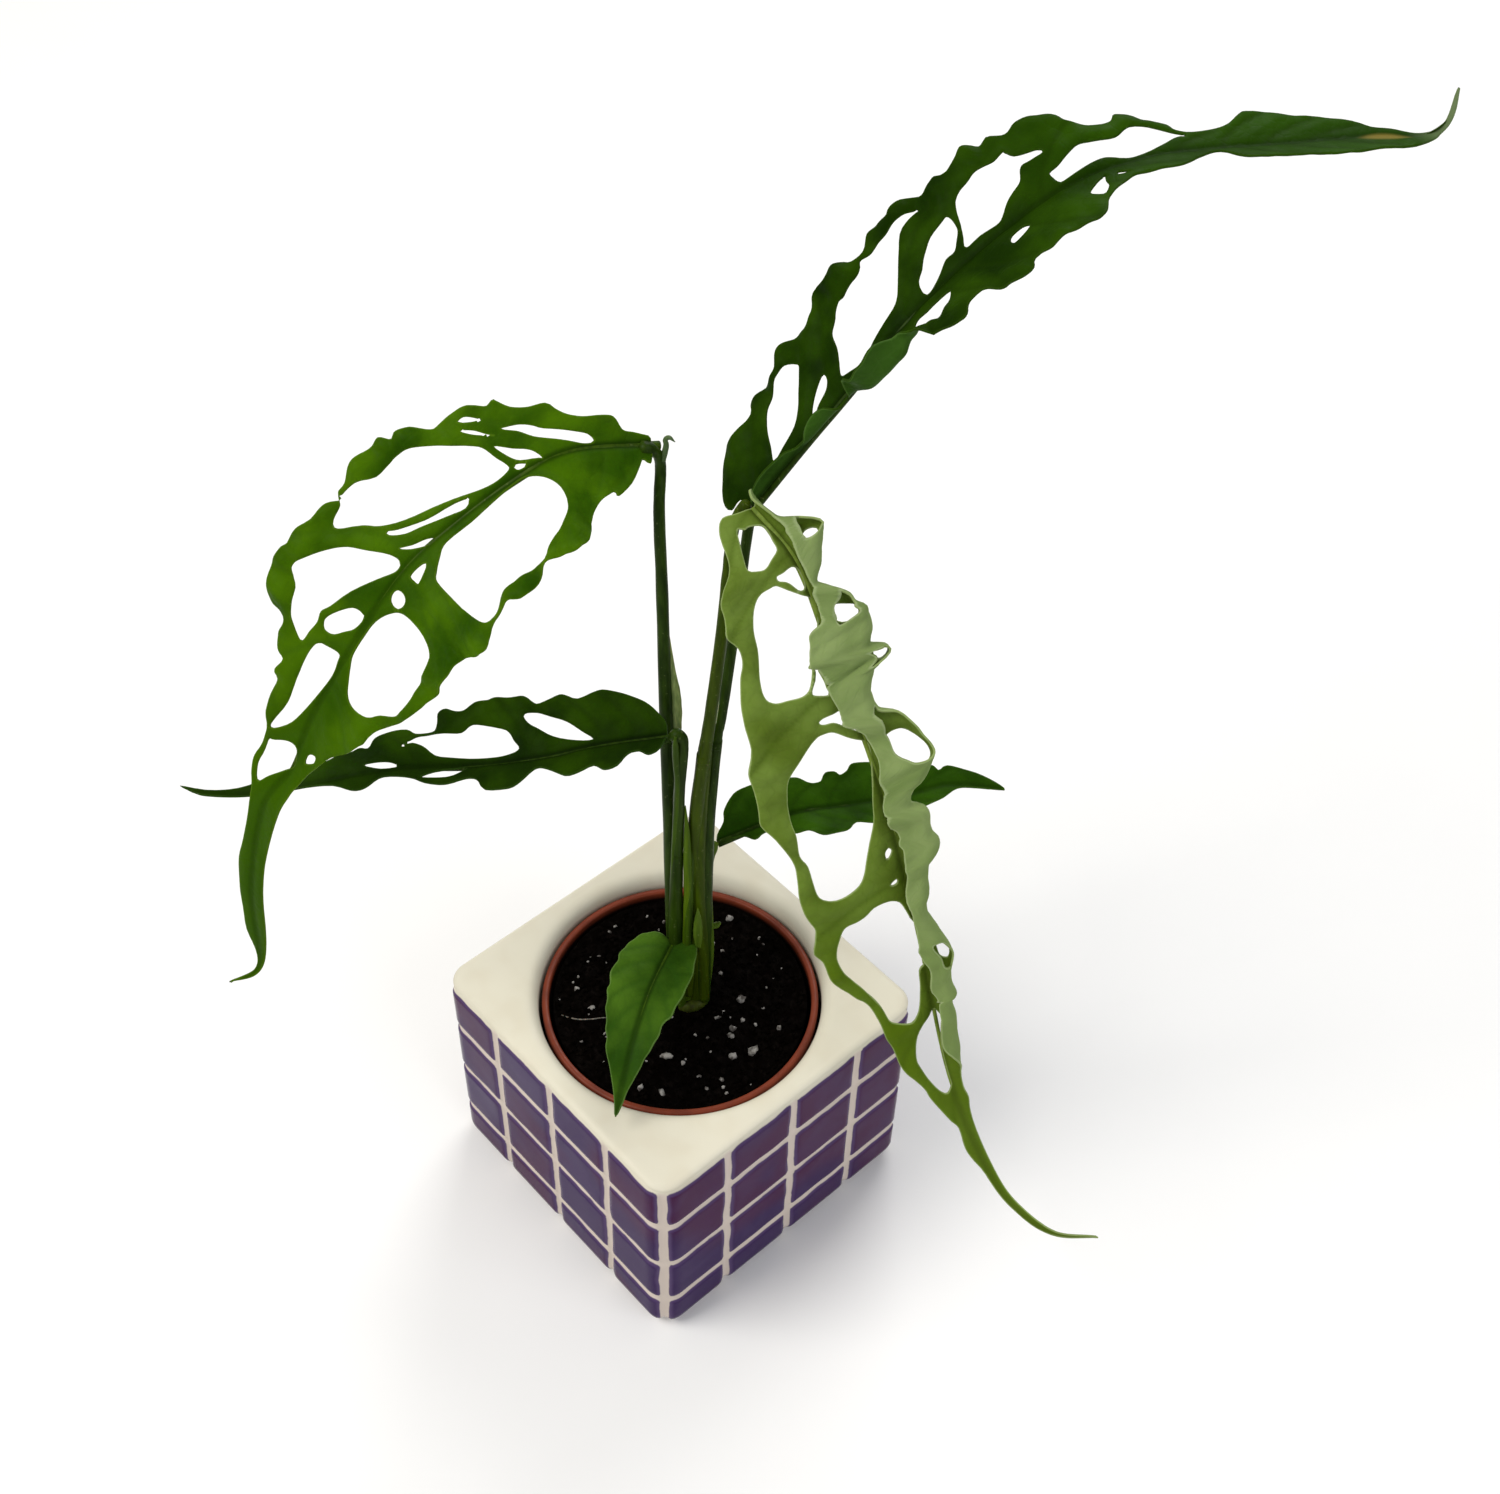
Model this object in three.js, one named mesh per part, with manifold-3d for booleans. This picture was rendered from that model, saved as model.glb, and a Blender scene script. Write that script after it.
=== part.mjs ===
// A potted Monstera obliqua of the Peru form: six leaves on their stalks, rooted in a nursery
// pot that stands in a glazed cube planter. Millimetres, +Z up, origin at the centre of the
// planter's underside. The corner (+X, -Y) of the planter faces the viewer.
import * as THREE from "three";
import { mergeVertices } from "three/addons/utils/BufferGeometryUtils.js";
import Module from "manifold-3d";

const wasm = await Module();
wasm.setup();

// Driving dimensions
const GAP = 0.3; // clearance between touching pieces
const PLANTER = {
  side: 80,
  height: 64,
  cornerRadius: 6,
  footRadius: 5,
  topRadius: 2,
  wellRadius: 33.4,
  wellLip: 2.4, // rounding of the well's top edge
  wellFloor: 6,
  wellCove: 4,
};
const TILES = { columns: 4, firstRowBelowTop: 17.7, rowPitch: 16.9, rows: 3, grout: 2, depth: 0.8 };
const POT = { rimRadius: 32.6, footRadius: 27, top: 61, wall: 1, lipHeight: 4, lipWidth: 0.6 };
const SOIL = { top: 58, crown: 0.8 };
const BLADE = 0.8; // thickness of a leaf
const PITCH = { along: 9, across: 5 }; // facets of a leaf before it is bent

// Materials
function material(color, roughness, metalness = 0) {
  return new THREE.MeshStandardMaterial({ color, roughness, metalness });
}
const cream = material(0xe8e2ce, 0.3);
const terracottaPlastic = material(0x96462f, 0.5);
const earth = material(0x150d0a, 0.95);
const darkLeaf = material(0x2f4f1a, 0.4);
const oliveLeaf = material(0x66852e, 0.45);
const stalkGreen = material(0x42601f, 0.5);
const drySheath = material(0xb9b48a, 0.8);

// Solids to meshes and back
function toSolid(geometry) {
  const bare = geometry.clone();
  bare.deleteAttribute("normal");
  bare.deleteAttribute("uv");
  const merged = mergeVertices(bare, 1e-4);
  const vertProperties = new Float32Array(merged.attributes.position.array);
  const triVerts = new Uint32Array(merged.index.array);
  return new wasm.Manifold(new wasm.Mesh({ numProp: 3, vertProperties, triVerts }));
}

function toGeometry(solid) {
  const { vertProperties, triVerts } = solid.getMesh();
  const geometry = new THREE.BufferGeometry();
  geometry.setAttribute("position", new THREE.BufferAttribute(vertProperties, 3));
  geometry.setIndex(new THREE.BufferAttribute(triVerts, 1));
  return geometry;
}

const plant = new THREE.Group();

function addPiece(name, geometry, surface) {
  const mesh = new THREE.Mesh(geometry, surface);
  mesh.name = name;
  plant.add(mesh);
}

// Curves and tables
function vector([x, y, z]) {
  return new THREE.Vector3(x, y, z);
}

// A smooth curve through [x, y] pairs, level beyond its two ends.
function smooth(table, x) {
  const last = table.length - 1;
  if (x <= table[0][0]) return table[0][1];
  if (x >= table[last][0]) return table[last][1];
  let i = 0;
  while (x > table[i + 1][0]) i += 1;
  const slope = (k) => {
    const a = table[Math.max(k - 1, 0)];
    const b = table[Math.min(k + 1, last)];
    return (b[1] - a[1]) / (b[0] - a[0]);
  };
  const [x0, y0] = table[i];
  const [x1, y1] = table[i + 1];
  const h = x1 - x0;
  const s = (x - x0) / h;
  const rise = s * s * (3 - 2 * s);
  return y0 * (1 - rise) + y1 * rise
    + h * (slope(i) * s * (1 - s) ** 2 - slope(i + 1) * s * s * (1 - s));
}

// One half of a leaf as seen in its cross-section. It leaves the midrib at the angle `fold`,
// runs straight for `start`, turns through `turn` degrees over `length`, and runs on straight.
function halfSection(half, u, across) {
  const read = (entry) => THREE.MathUtils.degToRad(smooth(entry, u));
  const fold = read(half.fold);
  const turn = half.turn ? read(half.turn) : 0;
  const start = half.start ? smooth(half.start, u) : 0;
  const length = half.length ? smooth(half.length, u) : 1;
  const straight = Math.min(across, start);
  let x = straight * Math.cos(fold);
  let y = straight * Math.sin(fold);
  let angle = fold;
  const bent = Math.min(Math.max(across - start, 0), length);
  const rate = turn / length;
  if (Math.abs(rate) < 1e-5) {
    x += bent * Math.cos(fold);
    y += bent * Math.sin(fold);
  } else {
    angle = fold + rate * bent;
    x += (Math.sin(angle) - Math.sin(fold)) / rate;
    y -= (Math.cos(angle) - Math.cos(fold)) / rate;
  }
  const rest = Math.max(across - start - length, 0);
  return { x: x + rest * Math.cos(angle), y: y + rest * Math.sin(angle), angle };
}

// A leaf's surface: u runs along the midrib from the stalk, v across it (left is positive).
class LeafSurface {
  constructor(leaf) {
    this.leaf = leaf;
    this.curve = new THREE.CatmullRomCurve3(leaf.midrib.map(vector), false, "catmullrom", 0.5);
    this.curve.arcLengthDivisions = 400;
    this.length = this.curve.getLength();
    this.facing = vector(leaf.facing);
  }

  place(u, v, lift) {
    const t = THREE.MathUtils.clamp(u / this.length, 0, 1);
    const point = this.curve.getPointAt(t);
    const along = this.curve.getTangentAt(t);
    point.addScaledVector(along, u - t * this.length);
    const up = this.facing.clone().addScaledVector(along, -this.facing.dot(along)).normalize();
    const left = up.clone().cross(along);
    const side = left.multiplyScalar(v < 0 ? -1 : 1);
    const half = v < 0 ? this.leaf.right : this.leaf.left;
    const { x, y, angle } = halfSection(half, THREE.MathUtils.clamp(u, 0, this.length), Math.abs(v));
    point.addScaledVector(side, x - lift * Math.sin(angle));
    return point.addScaledVector(up, y + lift * Math.cos(angle));
  }
}

function prism(ring, depth) {
  const shape = new THREE.Shape(ring.map(([u, v]) => new THREE.Vector2(u, v)));
  return toSolid(new THREE.ExtrudeGeometry(shape, { depth, bevelEnabled: false }));
}

// A leaf is cut flat from a gently domed slab, then bent. The doming keeps its facets apart.
function leafGeometry(leaf) {
  const us = leaf.outline.map(([u]) => u);
  const vs = leaf.outline.map(([, v]) => v);
  const low = [Math.min(...us) - 2, Math.min(...vs) - 2];
  const high = [Math.max(...us) + 2, Math.max(...vs) + 2];
  const size = [high[0] - low[0], high[1] - low[1]];
  const cells = [Math.round(size[0] / PITCH.along), Math.round(size[1] / PITCH.across)];
  const slab = new THREE.BoxGeometry(size[0], size[1], 2, cells[0], cells[1], 1);
  slab.translate(low[0] + size[0] / 2, low[1] + size[1] / 2, 0);
  const corners = slab.attributes.position;
  for (let i = 0; i < corners.count; i += 1) {
    const dome = 2e-5 * (corners.getX(i) ** 2 + corners.getY(i) ** 2);
    corners.setZ(i, corners.getZ(i) > 0 ? 1 + dome : -1 - dome);
  }
  let sheet = toSolid(slab).intersect(prism(leaf.outline, 16).translate([0, 0, -8]));
  for (const window of leaf.windows) {
    sheet = sheet.subtract(prism(window, 20).translate([0, 0, -10]));
  }
  const geometry = toGeometry(sheet);
  const surface = new LeafSurface(leaf);
  const position = geometry.attributes.position;
  for (let i = 0; i < position.count; i += 1) {
    const lift = position.getZ(i) > 0 ? BLADE / 2 : -BLADE / 2;
    const place = surface.place(position.getX(i), position.getY(i), lift);
    position.setXYZ(i, place.x, place.y, place.z);
  }
  return geometry;
}

function tube(points, radius, steps, sides = 8) {
  const section = new THREE.Shape();
  for (let i = 0; i < sides; i += 1) {
    const angle = (2 * Math.PI * i) / sides;
    const corner = [radius * Math.cos(angle), radius * Math.sin(angle)];
    if (i === 0) section.moveTo(...corner);
    else section.lineTo(...corner);
  }
  const extrudePath = new THREE.CatmullRomCurve3(points.map(vector), false, "catmullrom", 0.5);
  return new THREE.ExtrudeGeometry(section, { steps, extrudePath, bevelEnabled: false });
}

// Planter: a glazed cube with a round well, its tiles parted by shallow grout lines
function cubePart(bottom, top, edge) {
  const half = PLANTER.side / 2 - edge;
  const radius = PLANTER.cornerRadius - edge;
  const shape = new THREE.Shape();
  for (let corner = 0; corner < 4; corner += 1) {
    const turn = (corner * Math.PI) / 2;
    const x = (half - radius) * (Math.cos(turn) - Math.sin(turn));
    const y = (half - radius) * (Math.cos(turn) + Math.sin(turn));
    shape.absarc(x, y, radius, turn, turn + Math.PI / 2, false);
  }
  const depth = top - bottom - 2 * edge;
  const bevel = { bevelThickness: edge, bevelSize: edge, bevelSegments: 3 };
  const geometry = new THREE.ExtrudeGeometry(shape, { depth, curveSegments: 5, ...bevel });
  geometry.translate(0, 0, bottom + edge);
  return toSolid(geometry);
}

function planterGeometry() {
  const { side, height, footRadius, topRadius, wellRadius, wellLip, wellFloor, wellCove } = PLANTER;
  let body = cubePart(0, height - 10, footRadius).add(cubePart(20, height, topRadius));
  const lipBow = wellLip * (1 - Math.SQRT1_2);
  const well = new THREE.LatheGeometry([
    new THREE.Vector2(0, wellFloor),
    new THREE.Vector2(wellRadius - wellCove, wellFloor),
    new THREE.Vector2(wellRadius - 1, wellFloor + wellCove / 2),
    new THREE.Vector2(wellRadius, wellFloor + wellCove * 2),
    new THREE.Vector2(wellRadius, height - wellLip),
    new THREE.Vector2(wellRadius + lipBow, height - lipBow),
    new THREE.Vector2(wellRadius + wellLip, height),
    new THREE.Vector2(wellRadius + wellLip, height + 4),
    new THREE.Vector2(0, height + 4),
  ], 36);
  well.rotateX(Math.PI / 2);
  body = body.subtract(toSolid(well));
  const { columns, firstRowBelowTop, rowPitch, rows, grout, depth } = TILES;
  const frame = side / 2 - depth;
  const lineEnd = height - 5;
  for (let face = 0; face < 4; face += 1) {
    for (let k = 1; k < columns; k += 1) {
      const line = new THREE.BoxGeometry(10, grout, lineEnd + 10);
      line.translate(frame + 5, side * (k / columns - 0.5), (lineEnd - 10) / 2);
      line.rotateZ((face * Math.PI) / 2);
      body = body.subtract(toSolid(line));
    }
    for (let k = 0; k < rows; k += 1) {
      const line = new THREE.BoxGeometry(10, side - 2 * PLANTER.cornerRadius, grout);
      line.translate(frame + 5, 0, height - firstRowBelowTop - k * rowPitch);
      line.rotateZ((face * Math.PI) / 2);
      body = body.subtract(toSolid(line));
    }
  }
  return toGeometry(body);
}

// Nursery pot: a thin tapered cup with a lip, on the well's floor
function potGeometry() {
  const { rimRadius, footRadius, top, wall, lipHeight, lipWidth } = POT;
  const floor = PLANTER.wellFloor + GAP;
  const wallRadius = rimRadius - lipWidth;
  const profile = [
    [0, floor],
    [footRadius, floor],
    [wallRadius, top - lipHeight],
    [rimRadius, top - lipHeight],
    [rimRadius, top - 0.4],
    [rimRadius - 0.5, top],
    [wallRadius - wall, top],
    [footRadius - wall, floor + wall],
    [0, floor + wall],
  ];
  const cup = new THREE.LatheGeometry(profile.map(([x, y]) => new THREE.Vector2(x, y)), 32);
  return cup.rotateX(Math.PI / 2);
}

// Soil: fills the pot to a few millimetres below its rim
function soilGeometry() {
  const { rimRadius, footRadius, top, wall, lipWidth } = POT;
  const floor = PLANTER.wellFloor + GAP;
  const inside = floor + wall + GAP;
  const clear = wall + 2 * GAP;
  const taper = (rimRadius - lipWidth - footRadius) / (top - floor - wall);
  const edge = SOIL.top - SOIL.crown;
  const profile = [
    [0, inside],
    [footRadius - clear, inside],
    [footRadius - clear + taper * (edge - inside), edge],
    [24, SOIL.top - 0.3],
    [10, SOIL.top],
    [0, SOIL.top],
  ];
  const fill = new THREE.LatheGeometry(profile.map(([x, y]) => new THREE.Vector2(x, y)), 28);
  return fill.rotateX(Math.PI / 2);
}

addPiece("ceramic_planter", planterGeometry(), cream);
addPiece("nursery_pot", potGeometry(), terracottaPlastic);
addPiece("potting_mix", soilGeometry(), earth);

// Stalks, from the soil up. The crown is the short stem with the shared sheath of two stalks.
const STALKS = {
  stem_crown: {
    radius: 2.6,
    steps: 9,
    path: [[2.6, 3.6, 58.4], [1.1, 4.5, 78], [0, 6, 100], [-1, 8.3, 118], [-2.5, 12, 139.5]],
  },
  petiole_upper_left: {
    radius: 1.15,
    steps: 18,
    path: [
      [-1.5, 0.8, 58.4], [-4.5, 1.1, 80.7], [-8.8, 4, 110.8], [-14.3, 8.2, 145.3],
      [-18.6, 11.9, 171.3], [-22, 14.3, 189.2], [-24.3, 17, 198.5], [-24.8, 18.4, 202.1],
    ],
  },
  petiole_upper_right: {
    radius: 1.15,
    steps: 10,
    path: [
      [-4, 14.2, 139.6], [-4.4, 15.7, 143.5], [-6, 19.9, 160.3], [-7.8, 24.1, 178.9],
      [-8.5, 26.4, 189.7], [-8.6, 27.3, 192.7],
    ],
  },
  petiole_hanging: {
    radius: 1.1,
    steps: 12,
    path: [
      [-1.5, 10.5, 140.3], [-1.9, 11.2, 147], [-3.2, 14.3, 167.5], [-5.5, 17.8, 180.3],
      [-7.3, 20.3, 186.9], [-8.6, 22.7, 191.2], [-8.4, 24.2, 193.7], [-7.3, 25, 194.4],
    ],
  },
  petiole_lower_left: {
    radius: 1.2,
    steps: 9,
    path: [
      [-2.9, 3.9, 112], [-3.9, 3.9, 125], [-3.9, 5, 137], [-4.2, 5.5, 140.5], [-5.1, 5.2, 143.3],
      [-6.4, 4, 144.1],
    ],
  },
  petiole_back: {
    radius: 1,
    steps: 6,
    path: [[-2.2, 7.7, 84], [-4, 11.3, 92], [-5.2, 14, 97.4], [-5.7, 15.1, 99.3]],
  },
  petiole_front: {
    radius: 0.9,
    steps: 6,
    path: [[1.3, -0.4, 58.4], [0.3, -0.3, 66], [-1.2, 0.2, 74.5], [-2, 0.5, 78.4], [-1.9, 0.2, 79.5]],
  },
};
for (const [name, { path, radius, steps }] of Object.entries(STALKS)) {
  addPiece(name, tube(path, radius, steps), stalkGreen);
}

// Sheath ends: dry pointed slips that stand beside the stalks
function slip(length, radius, foot, tip) {
  const profile = [[0, 0], [radius, length * 0.1], [radius * 0.8, length * 0.5], [0, length]];
  const cone = new THREE.LatheGeometry(profile.map(([x, y]) => new THREE.Vector2(x, y)), 8);
  const lean = vector(tip).sub(vector(foot)).normalize();
  cone.applyQuaternion(new THREE.Quaternion().setFromUnitVectors(new THREE.Vector3(0, 1, 0), lean));
  return cone.translate(...foot);
}
addPiece("sheath_left", slip(22, 0.9, [-11.6, 9.4, 139], [-15.8, 11.5, 161]), drySheath);
addPiece("sheath_bud", slip(8, 0.8, [3.5, 2.4, 87], [2.9, 2.9, 95]), stalkGreen);

// Leaves. Midribs are in the planter's frame; outlines and windows are [along, across] the leaf.
const LEAVES = {
  leaf_upper_right: {
    surface: darkLeaf,
    facing: [-0.1, -0.3, 0.95],
    midrib: [
      [-8.5, 27.5, 193], [-5, 36.5, 205], [-2, 45.5, 215.5], [1, 53, 226], [5.5, 66, 238.5],
      [12, 83, 250.5], [17.5, 98, 253.5], [22, 111, 252.5], [28.5, 128, 250], [35, 147, 247],
      [39.5, 158, 245], [41.5, 163, 246.5], [41.5, 164, 254],
    ],
    left: { fold: [[0, 14], [170, 12]] },
    right: {
      fold: [[0, 95], [26, 90], [31, 0], [36, -15], [43, -12], [50, 15], [110, 12], [170, 8]],
      turn: [[28, 0], [33, 100], [37, 126], [43, 120], [49, 0]],
      length: [[0, 20]],
    },
    outline: [
      [0, 1.5], [-2, 3], [-5, 3], [-5, 6], [-1, 11], [2, 13.5], [10.5, 14.5], [14, 16.5],
      [18, 15.5], [24, 18.5], [28.5, 17.5], [37, 20.5], [40, 19.5], [43, 20], [46, 18],
      [53, 20.5], [58.5, 20], [63, 18], [68.5, 18], [73.5, 20.5], [79, 19.5], [81, 17.5],
      [86, 17.5], [90, 15.5], [94, 11.5], [100, 11.5], [106, 8.5], [110, 5.5], [113.5, 4.5],
      [119, 5], [127, 9], [134, 8.5], [142, 6.5], [150, 4.5], [155, 2.5], [165, 1],
      [178, 0.4], [178, -0.4], [165, -3], [158, -5], [148, -6], [134, -6], [122, -5.5],
      [117, -2], [112.5, -2.5], [106, -5.5], [99.5, -6], [94, -6.5], [88.5, -10], [86, -15],
      [79, -16], [72, -13.5], [68.5, -16], [65, -15], [60, -11], [55, -14], [50, -11],
      [47.5, -9], [45, -16], [41, -20.5], [37, -20], [34, -16], [31, -9], [28, -4.5],
      [25.5, -3], [22, -8], [18, -8.5], [14, -6], [11.5, -3], [9, -6], [6, -8], [3, -6],
      [0, -2],
    ],
    windows: [
      [[8.5, 2.5], [11, 8], [14, 12], [21, 14], [24.5, 12.5], [21.5, 8], [16.5, 4], [12, 3]],
      [[27.5, 7], [22, 4], [21.5, 2], [26.5, 3.5]],
      [
        [60, 15.5], [56, 17.5], [47.5, 17], [44, 14.5], [39, 14.5], [34, 11.5], [30.5, 4.5],
        [33, 2], [39.5, 2.5], [47.5, 4.5], [53, 11],
      ],
      [[64.5, 9.5], [61, 10], [55, 5.5], [52.5, 2], [57, 2], [63, 5]],
      [
        [63.5, 3], [71, 2], [75, 5], [79, 7], [84.5, 9.5], [79, 13.5], [73, 14], [67, 11],
        [65, 6],
      ],
      [
        [111.5, 4], [105.5, 7], [101.5, 8], [98, 6.5], [91, 7.5], [84, 4], [84, 2], [93, 2.5],
        [98, 1.5], [104, 1.5],
      ],
      [[75, -4.5], [72, -3], [70.5, -5], [73, -6]],
      [[56, -4], [55, -7], [52, -8], [47, -5], [48, -2.5]],
      [[91, -2.5], [86.5, -6], [88, -8.5], [90.5, -5]],
    ],
  },
  leaf_upper_left: {
    surface: darkLeaf,
    facing: [0.3, -0.6, 0.74],
    midrib: [
      [-25, 17.5, 203], [-30.5, 1, 207], [-34, -9.5, 204.5], [-38.5, -23.5, 196.5],
      [-42, -34, 188], [-46, -46.5, 170.5], [-49, -55, 156], [-50.5, -61, 144],
      [-53, -67.5, 135], [-55, -73.5, 111], [-55.5, -76, 86], [-58, -83, 82],
    ],
    left: { fold: [[0, 8], [170, 5]] },
    right: { fold: [[0, 8], [170, 5]] },
    outline: [
      [0.2, -1.3], [4, -2], [8, -3], [10, -6], [18, -7], [20.5, -10], [25, -12], [27, -15],
      [31, -16.5], [38.5, -17], [42, -20.5], [47.5, -22.5], [55, -21], [59, -19], [64, -20.5],
      [72, -22.5], [79, -21.5], [83, -18.5], [85, -14.5], [91, -13], [95, -11], [100, -10],
      [107, -8], [117, -7.5], [122, -4], [135, -3], [150, -3], [164, -2.5], [178, -0.5],
      [184, 0], [178, 1], [161, 2.5], [140, 3], [125, 4], [112, 4], [103, 8], [96, 12.5],
      [90, 14], [84, 17.5], [76, 20], [64, 21], [58, 24], [54.5, 24.5], [50, 21.5],
      [45, 20], [41, 21.5], [34.5, 18], [28, 19.5], [23, 18], [18, 13], [13, 10],
      [8, 8], [4.5, 3], [2, 3.5], [0.2, 1.3],
    ],
    windows: [
      [
        [32, -8], [30, -3], [37, -1.8], [47, -5], [56, -8.8], [62.5, -15.5], [59, -18.5],
        [52, -16.5], [46, -17.5], [40, -14.5], [34.5, -10],
      ],
      [[31, -7], [26, -3], [25, -0.8], [29, -3]],
      [[28.5, -9.5], [22, -5.5], [15, -2.5], [16, -1], [22, -3.2], [26, -7]],
      [[56.5, -7.3], [49.5, -4], [41, -2], [45, -1.8], [54, -4.5]],
      [
        [75.5, -17.5], [70, -17], [63.5, -11.5], [58.8, -3], [60.5, -1], [70, -6], [77.5, -9],
        [85.5, -9.5], [84, -13], [78, -15.5],
      ],
      [[80, -7], [75, -6], [72, -2], [76, -1.5], [80.5, -5]],
      [[83.5, -6], [83, -1.5], [92.5, -1], [102, -3.5], [106, -7], [99.5, -6], [89, -7]],
      [[110, -7], [107, -3], [109, 0], [114, -1], [120, -4], [116, -6.5]],
      [
        [49, 2], [37, 1.5], [29, 1], [24.5, 5], [24.5, 10.5], [29, 14.5], [35, 17], [44.5, 18],
        [50, 20], [53.5, 16.5], [55, 8], [52, 3.8],
      ],
      [
        [67.5, 3.5], [65.5, 7], [66, 13], [70, 16.5], [80, 17], [86, 13], [89.5, 7.5],
        [86, 3.5], [80, 1], [72, 1.5],
      ],
    ],
  },
  leaf_lower_left: {
    surface: darkLeaf,
    facing: [0.15, -0.15, 0.98],
    midrib: [
      [-6.7, 3.6, 144], [-16.6, -7.2, 140.5], [-25, -17, 136.5], [-35, -28, 133.5],
      [-45.5, -39, 132], [-55.5, -50.5, 128], [-67.5, -63.5, 123], [-76, -73, 124],
    ],
    left: { fold: [[0, 15], [107, 10]] },
    right: { fold: [[0, 15], [107, 10]] },
    outline: [
      [0, -1.5], [2.5, -5.5], [8, -10], [14, -12], [18.5, -11], [23, -13], [28.5, -12],
      [33, -14], [40, -14], [47, -12.5], [51, -12.5], [53, -8], [60, -8.5], [65.5, -5.5],
      [72.5, -5.5], [86, -4], [96, -1.8], [108, -0.5], [108, 0.3], [96, 0.6], [80, 0.6],
      [74, 1.5], [69.5, 4], [66.5, 4], [62, 2], [53, 4.5], [48.5, 5], [44.5, 3.5],
      [42, 4], [40, 7], [34, 7.5], [29.5, 3], [27, 3.5], [22, 6.5], [17, 5.5], [14, 7.5],
      [11, 7], [8, 3.5], [4.5, 5], [0, 1.5],
    ],
    windows: [
      [[31, -10], [25, -8.5], [20, -5.5], [17, -1.8], [23, -3], [30, -7.5]],
      [
        [58, -5.2], [53, -7.5], [46, -7.5], [41, -9], [35.5, -7], [33.5, -2.5], [42, -1.5],
        [51, -2.5],
      ],
    ],
  },
  leaf_hanging: {
    surface: oliveLeaf,
    facing: [0.45, -0.5, 0.74],
    midrib: [
      [-6, 24.5, 195], [7, 24.5, 190], [17.5, 24.5, 174], [30.5, 24.5, 154],
      [41.5, 24.5, 132], [51, 24.5, 107], [63.5, 24.5, 73], [79, 24.5, 52],
      [89, 24.5, 48], [98.5, 24.5, 52], [108.5, 24.5, 64],
    ],
    right: { fold: [[0, 8], [170, 5]] },
    left: {
      fold: [[0, 8], [170, 5]],
      turn: [
        [0, 60], [18, 70], [24, 120], [28, 172], [110, 172], [116, 130], [122, 60],
        [135, 20], [150, 5],
      ],
      start: [
        [20, 6], [28, 5.8], [32, 5.2], [34.5, 6.7], [37, 5], [41, 2.5], [45, 0.5], [48, 4],
        [53, 8.3], [57, 7.5], [61, 4], [66, 4], [75, 5.3], [82, 4.2], [90, 2.8], [97, 2],
        [102, 4], [106, 5], [110, 3.5], [115, 2.5], [130, 2],
      ],
      length: [[0, 10], [26, 9], [40, 8], [45, 6], [50, 9], [120, 8]],
    },
    outline: [
      [0, -1.5], [-1, -3], [-2, -6], [0.5, -8.5], [5, -10.5], [10, -15], [14, -17],
      [22, -18.5], [28, -17], [34, -19.5], [41, -21.5], [46, -22], [50, -24], [64, -25.5],
      [68, -23.5], [74, -22], [86, -22.5], [93, -21], [99, -22.5], [107, -20.5],
      [111, -19], [116, -14.5], [122, -12.5], [136, -10], [141, -7.5], [147, -5.5],
      [157, -2], [165, -2], [181, -0.6], [207, -0.4], [207, 0.4], [193, 0.6], [184, 1.3],
      [163, 1.5], [154, 2], [150, 3], [144, 2.5], [138, 2.5], [134, 4], [125, 5.5],
      [116, 7], [114.5, 10], [113, 15], [110, 19], [107, 20.5], [102, 19], [98, 15],
      [91, 13.5], [84, 14.5], [75, 16], [61.5, 15.5], [59.5, 20], [57, 25], [53, 24.5],
      [50, 20], [48, 14], [46, 10], [43, 13.5], [41, 18.5], [34, 22], [28.5, 23],
      [27, 20], [26, 12], [23, 10.5], [18.5, 8.5], [15, 12], [9, 14.5], [5, 14.5],
      [1, 12], [-1.5, 8], [-2, 4], [0, 1.5],
    ],
    windows: [
      [[2, -5.5], [3.5, -1.5], [8, -1.5], [11.5, -4.5], [10, -9], [5, -7.5]],
      [
        [16.5, -5.5], [19.5, -2.5], [24, -0.8], [30, -3], [38, -6], [40, -9], [39, -14],
        [34, -15.5], [24, -13], [18, -11],
      ],
      [[47, -7.5], [46, -3], [52, -0.8], [49, -5]],
      [
        [52, -13], [48.5, -7], [53, -0.8], [62, -1], [72, -3.5], [82, -8], [87, -12],
        [86, -18], [75, -20], [64, -19.5], [55.5, -17],
      ],
      [
        [92, -6], [93, -2.5], [101, -0.8], [112, -1.5], [124, -4], [125.5, -8.5],
        [116, -12.5], [106, -17.5], [99, -17], [95, -13],
      ],
      [[123.5, 0], [127, 1.5], [143, 0], [147, -2], [142, -4.5], [133, -5.5]],
      [[21, 2], [21, 6], [25, 7], [26, 3]],
      [[32.7, 7], [32.7, 10], [36.2, 10], [36.2, 7]],
      [[32.7, 12.5], [32.7, 15.5], [36.2, 15.5], [36.2, 12.5]],
      [[49.5, 4.5], [50, 9.5], [54, 11.3], [58, 10], [58.5, 4.5]],
      [[50.5, 15], [50.5, 17.5], [53, 21], [56.5, 21], [58, 17], [57, 14.3], [53, 14.3]],
      [[102.5, 5], [102.5, 7.5], [107.5, 7.8], [107.5, 5]],
      [[102.5, 11], [102.5, 13.5], [107.5, 13.5], [107.5, 11]],
    ],
  },
  leaf_back: {
    surface: darkLeaf,
    facing: [0.1, -0.1, 0.99],
    midrib: [
      [-5.5, 16, 100], [-1, 25, 103], [3, 33, 105], [8.5, 44, 104], [14, 54.5, 103.5],
      [19.5, 65.5, 104], [26, 77.5, 99],
    ],
    left: { fold: [[0, 10]] },
    right: { fold: [[0, 10]] },
    outline: [
      [0, -1.4], [6.5, -2], [9, -3.5], [12, -3], [17, -6], [20.5, -6], [24, -8],
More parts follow.
